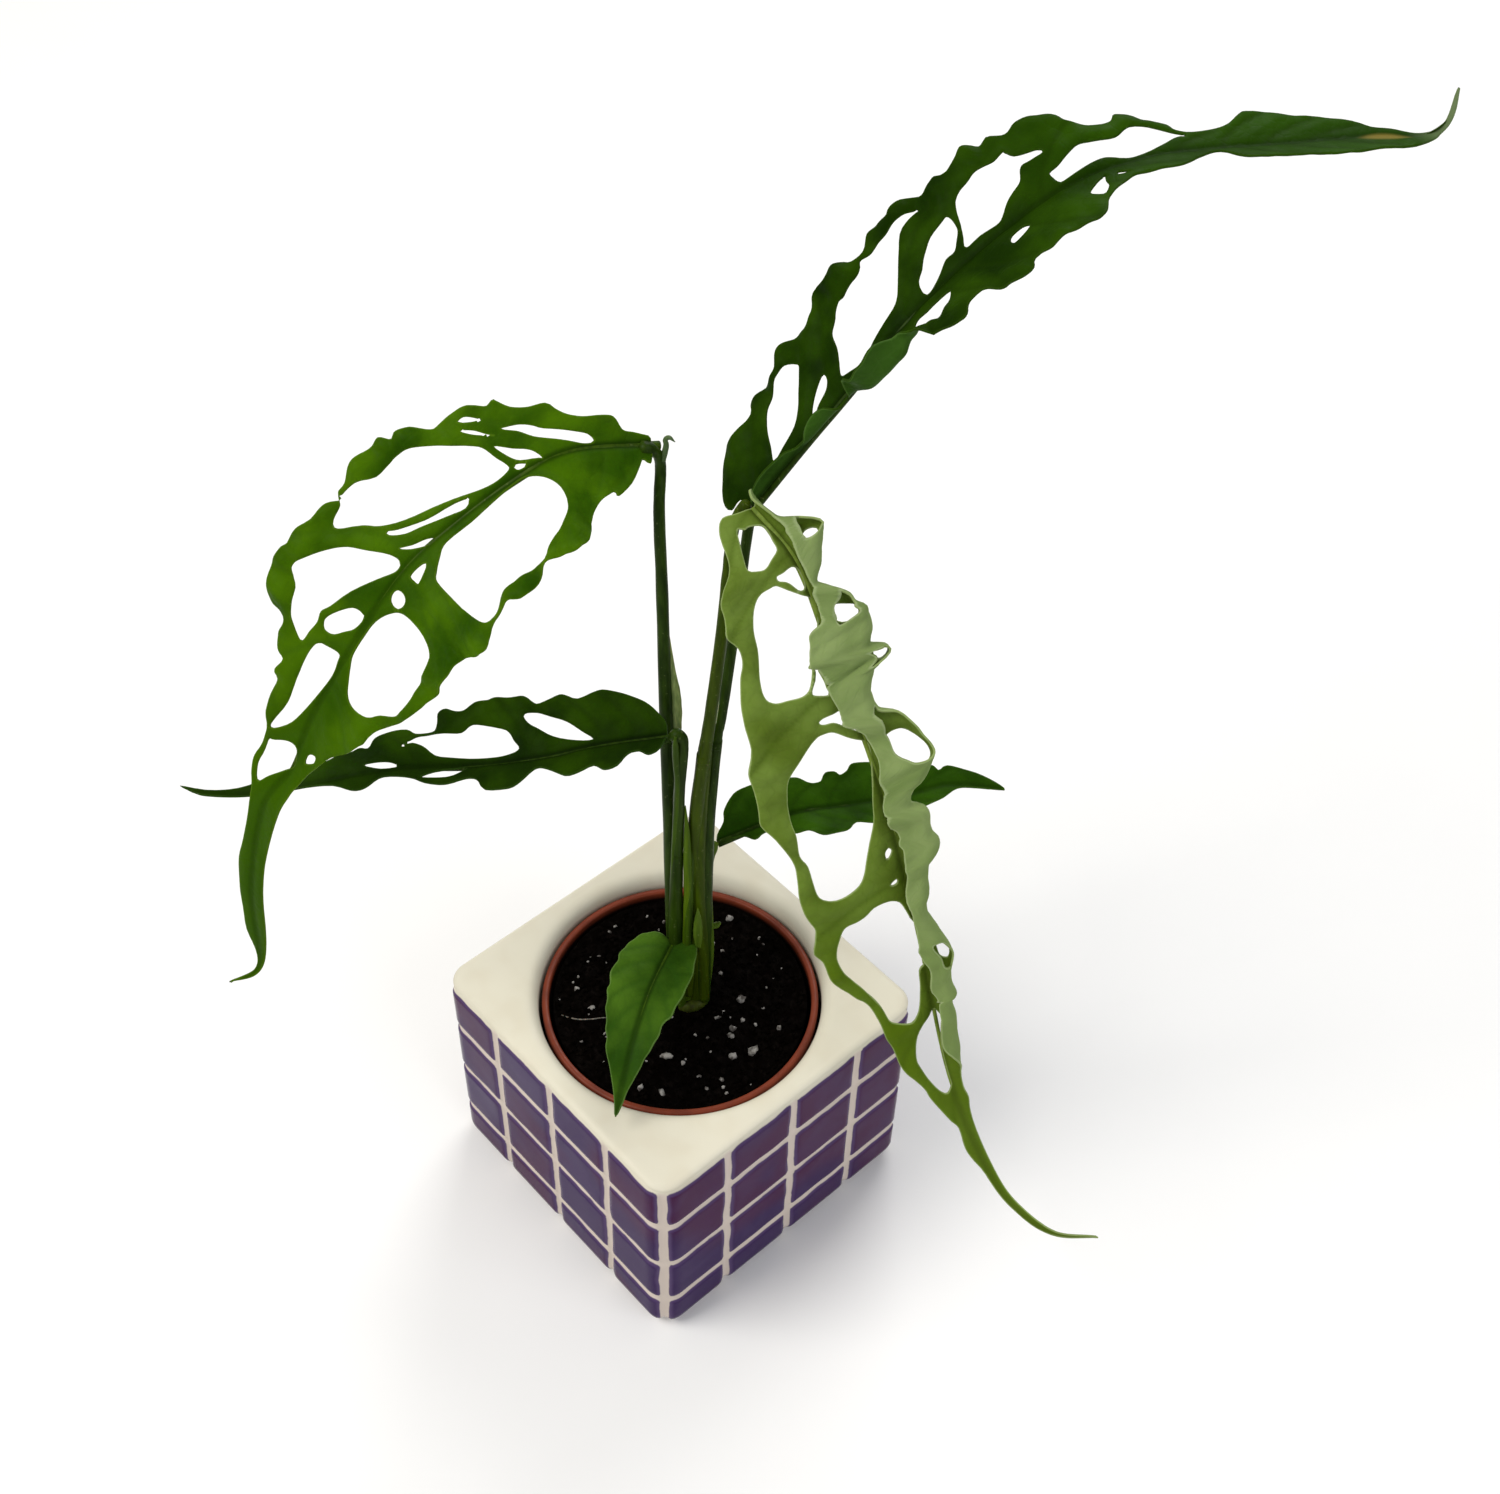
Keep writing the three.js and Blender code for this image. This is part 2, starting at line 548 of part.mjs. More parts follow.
      [29, -7.5], [32, -5.5], [38, -6.5], [46, -5.5], [53, -3.5], [58, -1.5], [70, -0.3],
      [70, 0.6], [62, 3.5], [57, 5], [54.5, 4], [50, 6], [42, 9], [35, 10], [31.5, 7.5],
      [29, 8.5], [25, 6.5], [21, 8.5], [11, 10], [7.5, 9.5], [4, 6], [0, 1.4],
    ],
    windows: [],
  },
  leaf_front: {
    surface: oliveLeaf,
    facing: [0.1, -0.1, 1],
    midrib: [[-1.6, -0.4, 80], [6, -10.2, 81.5], [12.2, -19.3, 81], [16.6, -25.9, 78.5], [19.3, -35.1, 69]],
    left: { fold: [[0, 10]] },
    right: { fold: [[0, 10]] },
    outline: [
      [0, -1.3], [-1, -4], [3, -8], [8, -10.5], [19, -11], [27, -9], [34, -6.5],
      [41, -2.5], [47, -0.4], [47, 0.4], [40, 2.5], [33, 5], [22, 6.5], [10, 5.5],
      [4, 4.5], [1, 3], [0, 1.3],
    ],
    windows: [],
  },
};
for (const [name, leaf] of Object.entries(LEAVES)) {
  addPiece(name, leafGeometry(leaf), leaf.surface);
}

export default plant;
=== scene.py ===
"""Potted monstera obliqua peru: six leaves with windows, in a nursery pot inside a tiled cube planter.

All tables are in millimetres in the planter's own frame: the middle of its underside is the
origin and +Z is up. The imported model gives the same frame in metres.
"""

import math
import random
from typing import NamedTuple

import bmesh
import bpy
import numpy as np
from mathutils import Matrix, Vector, noise


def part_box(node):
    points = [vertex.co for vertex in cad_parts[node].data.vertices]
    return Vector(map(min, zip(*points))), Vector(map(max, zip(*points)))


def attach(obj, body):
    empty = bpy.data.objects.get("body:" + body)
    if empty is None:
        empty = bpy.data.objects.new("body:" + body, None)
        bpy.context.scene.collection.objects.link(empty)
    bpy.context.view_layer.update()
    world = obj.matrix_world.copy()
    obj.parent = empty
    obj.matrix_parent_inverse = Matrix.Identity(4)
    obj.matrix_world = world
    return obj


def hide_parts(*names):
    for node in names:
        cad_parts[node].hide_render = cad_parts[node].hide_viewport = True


bl_info = {
    "name": "Potted monstera",
    "version": (1, 0, 0),
    "blender": (4, 5, 0),
    "location": "3D View > Sidebar > Monstera",
    "description": "Builds a monstera obliqua peru in a nursery pot inside a tiled cube planter",
    "category": "Add Mesh",
}

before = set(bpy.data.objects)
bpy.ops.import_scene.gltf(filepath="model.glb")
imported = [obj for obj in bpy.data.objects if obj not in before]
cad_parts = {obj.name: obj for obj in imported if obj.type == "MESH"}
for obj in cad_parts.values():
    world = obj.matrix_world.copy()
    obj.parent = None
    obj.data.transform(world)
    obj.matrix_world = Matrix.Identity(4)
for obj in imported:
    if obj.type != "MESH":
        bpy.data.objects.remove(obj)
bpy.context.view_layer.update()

MM = 0.001  # one millimetre in metres
BODY = "root"
FULL_TURN = 2 * math.pi


class Strand(NamedTuple):
    """A round stem: its line, its radius as (share of the line, radius) pairs, and its finish"""

    path: list
    radius: list
    finish: str


# Each leaf's stalk from the soil up. It reaches a little into the crown and under the blade, so
# that no joint shows. The upper left one also carries a withered stub of sheath.
STALKS = {
    "petiole_upper_left": [
        Strand(
            [(-1.3, 0.8, 54.5), (-4, 1.65, 80.7), (-8.3, 4.6, 110.8), (-14, 8.5, 145.3),
             (-18.6, 11.9, 171.3), (-22, 14.3, 189.2), (-24.6, 17, 196.5), (-24.9, 16.9, 200),
             (-25.3, 15.6, 202.3), (-26, 13.3, 203.8)],
            [(0, 2), (0.2, 1.7), (0.4, 1.35), (0.6, 1.2), (0.85, 1.2), (0.95, 1.6), (1, 1.35)],
            "stalk_dark",
        ),
        Strand(
            [(-24.2, 17.2, 199.5), (-23.9, 17.9, 202.8), (-24.1, 17.9, 204.3), (-23.6, 18.5, 204.8),
             (-22.6, 19.1, 204)],
            [(0, 0.7), (0.5, 0.5), (0.75, 0.45), (1, 0.08)],
            "stalk_stub",
        ),
    ],
    "petiole_upper_right": [
        Strand(
            [(-3.2, 12.9, 136), (-4, 14.2, 139.6), (-4.4, 15.7, 143.5), (-6, 19.9, 160.3),
             (-7.8, 24.1, 178.9), (-8.5, 26.4, 189.7), (-8.6, 27.3, 192.9)],
            [(0, 1.5), (0.4, 1.25), (0.85, 1.1), (0.95, 1.3), (1, 1.0)],
            "stalk_dark",
        ),
    ],
    "petiole_hanging": [
        Strand(
            [(-1.9, 8.5, 136), (-2.3, 9.6, 140.3), (-2.35, 10.7, 147), (-3.2, 14.3, 167.5),
             (-5.5, 17.8, 180.3), (-7.3, 20.3, 186.9), (-8.6, 22.7, 191.2), (-8.4, 24.2, 193.7),
             (-7.3, 25, 194.6)],
            [(0, 1.55), (0.35, 1.3), (0.85, 1.1), (0.94, 1.3), (1, 0.9)],
            "stalk_olive",
        ),
    ],
    "petiole_lower_left": [
        Strand(
            [(-3.5, 2.4, 108), (-3.9, 3.2, 118), (-4.2, 3.85, 129), (-4.2, 4.6, 137),
             (-4.5, 5.1, 140.5), (-5.1, 5.2, 143.3), (-6.6, 3.8, 144.3)],
            [(0, 1.35), (0.5, 1.25), (0.8, 1.35), (0.92, 1.75), (1, 1.3)],
            "stalk_dark",
        ),
    ],
    "petiole_back": [
        Strand(
            [(-1.4, 6.2, 79), (-2.2, 7.7, 84), (-4, 11.3, 92), (-5.2, 14, 97.4), (-5.8, 15.6, 100)],
            [(0, 1.3), (0.3, 1.1), (0.75, 0.95), (0.85, 1.15), (1, 0.9)],
            "stalk_pale",
        ),
    ],
    "petiole_front": [
        Strand(
            [(1.6, -0.4, 54.5), (0.3, -0.3, 66), (-1.2, 0.2, 74.5), (-2, 0.5, 78.4), (-1.7, 0, 80)],
            [(0, 1.1), (0.5, 0.9), (0.85, 0.85), (1, 0.8)],
            "stalk_green",
        ),
    ],
}

# The crown is a short stem from which the stalks part. The thick strands are the stalks' wrapped
# feet, and the thin ones are the edges and pointed ends of the sheaths round them.
CROWN = [
    Strand(
        [(1.9, 3.6, 53), (0.85, 4.3, 78), (-0.5, 5.4, 100), (-1.95, 6.55, 118), (-2.1, 8.9, 138)],
        [(0, 2.7), (0.3, 1.9), (0.6, 1.7), (1, 1.5)],
        "stalk_olive",
    ),
    Strand(
        [(2.3, 4, 53), (1.9, 5.25, 78), (0.7, 7, 100), (-1.15, 9.6, 118), (-3.5, 13.5, 138)],
        [(0, 2.5), (0.15, 2.2), (0.5, 1.75), (0.75, 1.4), (1, 1.4)],
        "stalk_dark",
    ),
    Strand(
        [(-0.3, 0.7, 53), (-2, 0.6, 80), (-2.9, 1.45, 96), (-3.5, 2.5, 109)],
        [(0, 1.9), (0.3, 1.7), (1, 1.35)],
        "stalk_dark",
    ),
    Strand(
        [(1, 1.3, 53), (0.5, 1.9, 80), (-0.3, 2.9, 96), (-1.3, 3.5, 109), (-1.9, 3.9, 116),
         (-2.9, 4.3, 124)],
        [(0, 1.3), (0.4, 1.1), (0.75, 0.75), (1, 0.15)],
        "stalk_yellow",
    ),
    Strand(
        [(1.5, 1.1, 70), (0.9, 1.7, 84), (0, 3.1, 97), (-1.2, 4.8, 110), (-1.9, 5.6, 114)],
        [(0, 0.5), (0.3, 0.9), (0.7, 0.7), (1, 0.1)],
        "stalk_green",
    ),
    Strand(
        [(3.7, 3.9, 60), (3.1, 4.4, 70), (2.6, 4.7, 80), (0.8, 5.3, 100), (-1.1, 7.5, 118),
         (-2.3, 10.4, 138), (-2.7, 11.7, 146.5)],
        [(0, 1.4), (0.5, 1.3), (0.8, 0.85), (1, 0.1)],
        "stalk_olive",
    ),
    Strand(
        [(-2.8, 14.7, 167.5), (-2.1, 13, 157), (-1.6, 11.5, 148), (-1.5, 10.9, 145.5)],
        [(0, 0.15), (0.2, 0.35), (0.8, 0.4), (1, 0.1)],
        "sheath_edge",
    ),
    Strand(
        [(2.9, 6.1, 61), (3.2, 6.8, 74), (2.7, 7.2, 84), (1.9, 7.9, 94)],
        [(0, 0.5), (0.5, 0.6), (1, 0.15)],
        "stalk_pale",
    ),
    Strand(
        [(2.6, 5.4, 62.5), (3.3, 4.4, 60), (3.3, 2.6, 59), (2.2, 0.2, 58.6), (1.2, -1.4, 58.3)],
        [(0, 0.5), (0.25, 1.3), (0.7, 1.6), (1, 0.5)],
        "stalk_node",
    ),
    Strand(
        [(2.2, 7.3, 83.6), (2.9, 8.5, 83.8), (3.4, 9.2, 84.6)],
        [(0, 0.5), (0.5, 0.75), (1, 0.35)],
        "stalk_pale",
    ),
    Strand(
        [(2.3, 6.2, 77.2), (2.7, 7.0, 77.4), (3, 7.4, 78)],
        [(0, 0.4), (0.5, 0.6), (1, 0.3)],
        "stalk_pale",
    ),
    Strand(
        [(2.1, 4.6, 95.5), (1.8, 3.4, 86), (1.7, 2.3, 76), (1.8, 1.6, 70), (1.8, 1.2, 62)],
        [(0, 0.12), (0.25, 0.75), (0.6, 1), (1, 0.8)],
        "stalk_olive",
    ),
    Strand(
        [(-4.7, 3.2, 145), (-4.6, 3.2, 139), (-4, 3.2, 131), (-3.8, 2.3, 119), (-3.6, 1.3, 107),
         (-3.2, 0.2, 95)],
        [(0, 0.3), (0.1, 0.7), (0.7, 0.6), (1, 0.1)],
        "stalk_green",
    ),
]

# Free pointed ends of the sheaths, and the record's slot for each
SHEATHS = {
    "sheath_left": (
        "dry_sheath",
        Strand(
            [(-10.8, 8.6, 131), (-11.6, 9.5, 139), (-12.6, 10.2, 146), (-14.2, 10.6, 153),
             (-15.9, 11.4, 161)],
            [(0, 0.7), (0.25, 1.1), (0.5, 1.15), (0.75, 0.7), (1, 0.08)],
            "sheath_dry",
        ),
    ),
    "sheath_bud": (
        "stalk",
        Strand(
            [(3.9, 2.2, 82), (3.6, 2.3, 87), (3.3, 2.6, 91), (2.9, 2.9, 95)],
            [(0, 0.6), (0.3, 1.05), (0.7, 0.8), (1, 0.08)],
            "stalk_pale",
        ),
    ),
}

# The larger perlite grains: place across the soil and radius
LARGE_GRAINS = [
    (-10.6, 25.1, 0.9), (0, 12.8, 0.65), (8.9, 11.3, 1.0), (14.1, 4, 1.0), (15, 2.6, 0.8),
    (21.6, 3.6, 1.4), (19.6, -0.9, 0.95), (9.5, -12.6, 1.15), (16.4, -19.7, 0.8), (9, 3.9, 0.7),
    (9.1, -3.3, 0.6), (-18.9, -16.2, 0.7), (-12.3, -17, 0.75), (-27.2, 2.5, 0.6),
    (22.5, -6.8, 0.7), (12.2, -22.6, 0.7), (-4.6, 17.4, 0.5), (20.8, 12.6, 0.6),
]
FINE_ROOT = Strand(
    [(-16.8, -23.9, 58.2), (-14.3, -23.2, 58.8), (-11.7, -21.6, 59), (-9.6, -19.1, 59),
     (-7.8, -16.3, 58.8), (-5.4, -15.3, 58.3)],
    [(0, 0.1), (0.5, 0.16), (1, 0.06)],
    "root_skin",
)


class LeafFinish(NamedTuple):
    """What a leaf is finished with, its slot, and how far its margin ripples"""

    upper: str
    under: str
    midrib: str
    slot: str
    ripple: float


LEAF_FINISH = {
    "leaf_upper_right": LeafFinish(
        "leaf_waxy_upper", "leaf_dark_under", "stalk_dark", "leaf_dark", 1.3
    ),
    "leaf_upper_left": LeafFinish(
        "leaf_mid_upper", "leaf_mid_under", "stalk_green", "leaf_dark", 1.2
    ),
    "leaf_lower_left": LeafFinish(
        "leaf_dark_upper", "leaf_dark_under", "stalk_dark", "leaf_dark", 1.0
    ),
    "leaf_hanging": LeafFinish(
        "leaf_olive_upper", "leaf_olive_under", "midrib_olive", "leaf_olive", 0.7
    ),
    "leaf_back": LeafFinish(
        "leaf_shaded_upper", "leaf_dark_under", "stalk_dark", "leaf_dark", 0.8
    ),
    "leaf_front": LeafFinish(
        "leaf_fresh_upper", "leaf_fresh_under", "stalk_green", "leaf_olive", 2.4
    ),
}

# Leaves. "midrib" runs from the stalk to the tip and "facing" is where the upper side looks.
# Outlines and windows are given along and across the leaf, and a vein as where it starts along
# the midrib, and where it ends along and across. Each half leaves the midrib at "fold" degrees,
# runs straight for "start", then turns by "turn" over "length".
LEAVES = {
    "leaf_upper_right": {
        "facing": (-0.1, -0.3, 0.95),
        "midrib": [
            (-8.5, 27.5, 193), (-5, 36.5, 205), (-2, 45.5, 215.5), (1, 53, 226), (5.5, 66, 238.5),
            (12, 83, 250.5), (17.5, 98, 253.5), (22, 111, 252.5), (28.5, 128, 250), (35, 147, 247),
            (39.5, 158, 245), (41.5, 163, 246.5), (41.5, 164, 254),
        ],
        "left": {"fold": [(0, 14), (170, 12)]},
        "right": {
            "fold": [
                (0, 100), (12, 100), (15, 60), (17, 15), (25, 10), (28, 10), (30, 0), (46, 5), (50, 15),
                (110, 12), (170, 8),
            ],
            "turn": [
                (0, 0), (13, 0), (16, 120), (24, 120), (27, 60), (30, 130), (34, 105), (38, 100),
                (41, 125), (44, 150), (47, 60), (49.5, 0),
            ],
            "start": [
                (0, 1), (16, 0.3), (25, 0.3), (29, 0.2), (31, 1.2), (34.5, 4), (38.5, 4.8), (41, 5.4),
                (43, 6), (45, 4.8), (47, 3.5), (50, 2),
            ],
            "length": [(0, 4), (25, 4), (29, 4.5), (34, 5), (38, 5.2), (41, 4.4), (44, 3.6), (50, 3.6)],
        },
        "outline": [
            (-2, 3), (-5, 3), (-5, 6), (-1, 11), (2, 13.5), (5, 14), (10.5, 14.5), (12, 16.5),
            (15, 16.5), (17.5, 15.5), (19.5, 15.5), (21.5, 16), (24, 18.5), (26, 18.5), (28.5, 17.5),
            (31.5, 17.5), (33.5, 18.5), (36, 20.5), (38, 20.5), (40, 19.5), (43, 20), (45, 19),
            (46, 18), (48, 18), (50.5, 19.5), (52, 20.5), (54.5, 20.5), (56.5, 19.5), (57.5, 20),
            (60, 20), (62, 18.5), (63, 18), (65.5, 18.5), (67, 19), (68.5, 18), (71, 18.5),
            (73.5, 20.5), (75, 20), (76.5, 19), (78.5, 19.5), (80.5, 17.5), (82, 17), (84, 18),
            (87, 17), (90, 15.5), (91, 13.5), (93, 12), (94.5, 11), (96.5, 10.5), (99, 10.5),
            (100.5, 12), (103, 10.5), (104.5, 9), (106, 8.5), (109, 7), (110, 5.5), (113.5, 4.5),
            (119, 5), (122, 6), (125, 8), (127.5, 9), (133, 8.5), (138.5, 7), (142.5, 6.5),
            (150.5, 4.5), (154, 2.5), (158.5, 2), (162.5, 1), (165.5, 0.5), (170, 0.3), (178, 0),
            (174, -1), (169, -1), (167, -2), (163, -3.5), (158.5, -5), (148, -6), (140.5, -6.5),
            (134.5, -6), (127.5, -5.5), (122, -5.5), (119, -4), (117.5, -2), (115.5, -1.5),
            (112.5, -2.5), (106.5, -5.5), (104, -6.5), (99.5, -6), (96, -5.5), (93, -7), (88.5, -10),
            (87, -12.5), (85.5, -15), (82.5, -16), (78, -16), (75.5, -15), (72, -13.5), (71, -15),
            (68.5, -16), (65, -15), (61, -11), (58, -11.5), (56.5, -13.5), (54.5, -14), (49.5, -11),
            (47, -8.5), (45, -10), (43, -12.5), (41, -14), (39, -15), (37, -15), (34.5, -13),
            (32, -9.5), (30, -5), (28.5, -2), (26.5, -2.2), (24, -4.8), (21, -5.2), (18, -4),
            (15.5, -1.6), (14, -1.3), (12, -2.2), (9, -2.7), (6, -3), (3, -2.6), (0, -1.2),
        ],
        "windows": [
            [(8.5, 2.5), (10, 5.5), (11.5, 9), (13.5, 11.5), (17.5, 13.5), (21, 14.5), (23, 14.5),
             (25, 13), (24, 11), (21.5, 8), (19.5, 6), (16.5, 4), (12, 3)],
            [(27.5, 7), (26, 6.5), (23.5, 5), (21, 3), (21, 2), (23, 3), (26, 4), (27.5, 5.5)],
            [(61, 16), (58.5, 17), (56.5, 17.5), (53, 17.5), (50, 17), (47.5, 17), (46.5, 15.5),
             (44.5, 14.5), (40.5, 14), (39, 14.5), (36.5, 13), (34, 11.5), (33, 8.5), (31.5, 6),
             (30, 3.5), (32, 2.5), (35.5, 1.5), (39.5, 2.5), (44, 3.5), (47.5, 4.5), (50, 7), (53, 11),
             (56, 14.5), (59.5, 15.5)],
            [(64.5, 10.5), (63, 10.5), (60, 9.5), (57, 7.5), (55, 5.5), (53, 4), (52.5, 1), (54.5, 1),
             (57, 2), (59.5, 3.5), (61.5, 3.5), (63, 5), (64.5, 7)],
            [(63.5, 2.5), (67, 2.5), (70.5, 2), (72, 2.5), (74.5, 4.5), (76.5, 5.5), (78.5, 6.5),
             (80, 9), (82, 9), (84.5, 9), (84.5, 10), (82, 11), (80, 12), (79, 14), (77, 14),
             (74.5, 14.5), (71.5, 13.5), (68, 12.5), (66.5, 10.5), (65.5, 7.5), (64.5, 5)],
            [(111.5, 4), (109, 5), (105.5, 7), (101.5, 8), (98, 6.5), (94.5, 7), (91, 7.5), (88.5, 6.5),
             (85.5, 5), (83.5, 4.5), (83.5, 3), (84, 1.5), (85.5, 1.5), (88.5, 2), (91.5, 2.5),
             (94, 2.5), (97.5, 1), (101, 1), (103.5, 1.5), (106.5, 2.5), (109, 3.5)],
            [(75, -4.5), (74, -3), (72, -3), (71, -3.5), (70.5, -5), (71, -6), (73, -5.5)],
            [(56.5, -3.5), (55.5, -6), (54, -6.5), (52, -8), (50.5, -6.5), (48, -6), (46.5, -4.5),
             (48, -2.5), (50.5, -3), (53, -3)],
            [(91, -2.5), (89, -3.5), (86.5, -6), (87.5, -8), (88.5, -8.5), (90, -6.5), (90.5, -4)],
            [(93, -3.5), (94, -2.5), (96, -4), (94, -4)],
        ],
        "veins": [
            (3, 12, 15), (26, 37, 19), (47, 66, 17), (60, 69, 17), (80, 91, 13), (108, 118, 4.5),
            (118, 131, 8.5), (128, 142, 6), (138, 152, 3.5), (56, 66, -15), (62, 73, -13),
            (74, 84, -15), (86, 93, -7), (95, 107, -5), (110, 124, -5), (121, 136, -6), (133, 148, -6),
            (144, 157, -4.5),
        ],
    },
    "leaf_upper_left": {
        "facing": (0.3, -0.6, 0.74),
        "midrib": [
            (-25, 17.5, 203), (-30.5, 1, 207), (-34, -9.5, 204.5), (-38.5, -23.5, 196.5),
            (-42, -34, 188), (-46, -46.5, 170.5), (-49, -55, 156), (-50.5, -61, 144), (-53, -67.5, 135),
            (-55, -73.5, 111), (-55.5, -76, 86), (-58, -83, 82),
        ],
        "left": {"fold": [(0, 8), (170, 5)]},
        "right": {"fold": [(0, 8), (170, 5)]},
        "outline": [
            (3, 4), (4.5, 3), (5.5, 4.5), (8, 8), (11.5, 10.5), (12, 9.5), (13.5, 10), (16.5, 11.5),
            (19.5, 14), (23, 18), (26, 19.5), (29, 19.5), (34.5, 18), (36.5, 19.5), (39, 21),
            (42.5, 21.5), (45, 20), (47.5, 20.5), (50.5, 21.5), (52, 23), (54.5, 24.5), (58, 24),
            (62, 21.5), (64, 21), (68, 21), (72, 21), (76.5, 20), (80.5, 19), (84, 17.5), (87, 15.5),
            (90, 14), (93.5, 13.5), (94.5, 13), (99, 11), (103, 8), (108, 5.5), (111.5, 4),
            (115.5, 3.5), (118.5, 4), (125, 4), (131.5, 3.5), (140.5, 3), (150, 3), (161, 2.5),
            (171.5, 1.5), (178.5, 1), (183.5, 0), (177.5, 0), (170.5, -1), (164, -2.5), (156, -2.5),
            (148.5, -3), (141.5, -3.5), (135.5, -3), (128.5, -3), (122, -4), (119, -6.5), (116, -8),
            (107, -8), (103.5, -9.5), (100, -10), (96.5, -10), (95, -11.5), (92, -11), (91, -13),
            (88, -14.5), (86, -14.5), (84.5, -15), (83.5, -16.5), (83, -19), (79, -21.5), (75.5, -22.5),
            (72, -22.5), (70, -21.5), (67.5, -22), (64, -20.5), (61, -20.5), (59, -19), (58, -20),
            (56.5, -20), (55, -21), (53, -22), (50, -22), (47.5, -22.5), (45.5, -20.5), (44, -21),
            (41.5, -20), (40.5, -19), (38.5, -17), (37, -17), (34, -17), (31, -16.5), (28.5, -14.5),
            (27, -15), (26, -13.5), (25, -12), (23, -10.5), (20.5, -10), (19.5, -8.5), (18, -7),
            (15.5, -6), (12, -6), (9.5, -5.5), (8, -3), (6, -2.5), (4, -2), (2, -1),
        ],
        "windows": [
            [(32.8, -8.2), (31.8, -5.2), (30.9, -3.2), (31, -2), (34, -1.5), (37.5, -2), (42, -3.5),
             (47, -5), (52.5, -6.5), (56.5, -9), (59, -12), (62.5, -15.5), (62, -17), (59.5, -18),
             (58.5, -19), (55, -18.5), (52, -16.5), (48, -17.5), (44.5, -17), (41, -15), (37, -12),
             (34.5, -10)],
            [(31, -7.3), (28.6, -5.2), (25.7, -3.1), (24.4, -0.6), (25, -1), (28.5, -2.5), (30, -4.5)],
            [(30, -2), (29, -2), (27.5, -1), (29.5, -1)],
            [(28.5, -9.5), (25.5, -8.5), (23.5, -7), (22, -5.5), (17.5, -3.5), (15, -2.5), (14, -1),
             (16.5, -1), (21, -3), (24, -5), (26, -7.5)],
            [(34, -15), (32.5, -15), (30.5, -13), (32, -13.5), (33.5, -14.5)],
            [(34.5, -13.5), (32.5, -12), (31, -10), (30, -9), (32, -10.5), (33.5, -12)],
            [(56.5, -7.5), (54.5, -6), (49.5, -4), (43.5, -3), (40.5, -2), (42, -1), (46, -2),
             (51, -3.5), (54, -4.5), (56.5, -6.5)],
            [(57, -3.5), (54.5, -2), (51.5, -1), (50, 0), (52, 0), (55, -1.5)],
            [(75.5, -17.5), (73, -18.5), (70, -17), (66.5, -14.5), (63.5, -11.5), (61.5, -8), (59, -4),
             (58.5, -1.5), (60.5, -1), (63.5, -2.5), (70, -6), (75.5, -8), (77.5, -9), (80, -8.5),
             (83, -9), (86, -9.5), (85.5, -11), (84, -13), (82.5, -14), (79.5, -15), (77, -16)],
            [(80, -7), (78, -7.5), (75, -6), (72.5, -4), (72, -2), (73, -1), (76, -1.5), (78, -3),
             (80, -4.5), (80.5, -6)],
            [(83.5, -6), (83, -4.5), (82.5, -1.5), (84, -1), (87.5, -0.5), (92.5, -1), (98, -2),
             (102.5, -3.5), (106, -6.5), (106, -7.5), (103.5, -7), (99.5, -6), (94, -6.5), (89, -7),
             (85.5, -7)],
            [(110, -7), (108.5, -5.5), (107, -3), (107, -1), (109, 0), (111.5, 0.5), (114, -1),
             (117.5, -2.5), (120, -3.5), (119, -5), (116.5, -6.5)],
            [(109, 2.5), (107, 2.5), (106, 3.5), (106, 4.5), (107.5, 4.5), (108.5, 3.5)],
            [(66.1, 3), (65.6, 4.3), (64.3, 4.8), (63, 4.3), (62.5, 3), (63, 1.7), (64.3, 1.2),
             (65.6, 1.7)],
            [(59, 2), (56.5, 2), (54.5, 2.5), (55.5, 3.5), (58.5, 4.5), (59, 3)],
            [(49, 2), (42.5, 2), (37.5, 1.5), (32.5, 1), (29, 1), (26, 3), (24, 6.5), (24.5, 10.5),
             (27.5, 13.5), (32, 15.5), (34.5, 17.5), (39.5, 17.5), (44.5, 18), (48, 20), (51.5, 20),
             (53.5, 16.5), (54.5, 11.5), (55, 7), (54, 5.5), (51.5, 3.5)],
            [(67.5, 3.5), (65.5, 6), (65.5, 10.5), (67, 15), (70, 16.5), (73.5, 16.5), (79, 17),
             (83.5, 16), (86, 13), (88.5, 11), (89.5, 7.5), (88.5, 5), (86, 3.5), (83, 2), (80.5, 1),
             (76, 1), (71.5, 1.5)],
        ],
        "veins": [
            (6, 20, -9), (22, 35, -16), (55, 68, -21), (80, 92, -12), (104, 114, -8), (119, 129, -3),
            (4, 13, 10), (12, 25, 19), (54, 60, 23), (60, 71, 21), (90, 99, 11), (99, 109, 5),
            (112, 123, 4), (125, 136, 3),
        ],
    },
    "leaf_lower_left": {
        "facing": (0.15, -0.15, 0.98),
        "midrib": [
            (-6.7, 3.6, 144), (-16.6, -7.2, 140.5), (-25, -17, 136.5), (-35, -28, 133.5),
            (-45.5, -39, 132), (-55.5, -50.5, 128), (-67.5, -63.5, 123), (-76, -73, 124),
        ],
        "left": {"fold": [(0, 15), (107, 10)]},
        "right": {"fold": [(0, 15), (107, 10)]},
        "outline": [
            (2, 3.5), (4.5, 5), (6.5, 3.5), (9, 4), (11, 7), (14, 7.5), (16.5, 5.5), (20, 6.5),
            (23, 6.5), (27, 3.5), (29.5, 3), (32.5, 6), (35, 7.5), (40, 7), (42, 4), (44.5, 3.5),
            (48.5, 5), (53, 4.5), (56, 3), (60.5, 2), (63.5, 2), (66.5, 4), (69.5, 4), (74, 1.5),
            (80.5, 0.5), (87.5, 0.5), (95, 0.5), (102.5, 1), (105, 0.5), (108.5, -1), (103, -0.5),
            (96, -1.5), (90.5, -3), (86.5, -4), (80.5, -4), (75.5, -4.5), (72.5, -5.5), (69.5, -5.5),
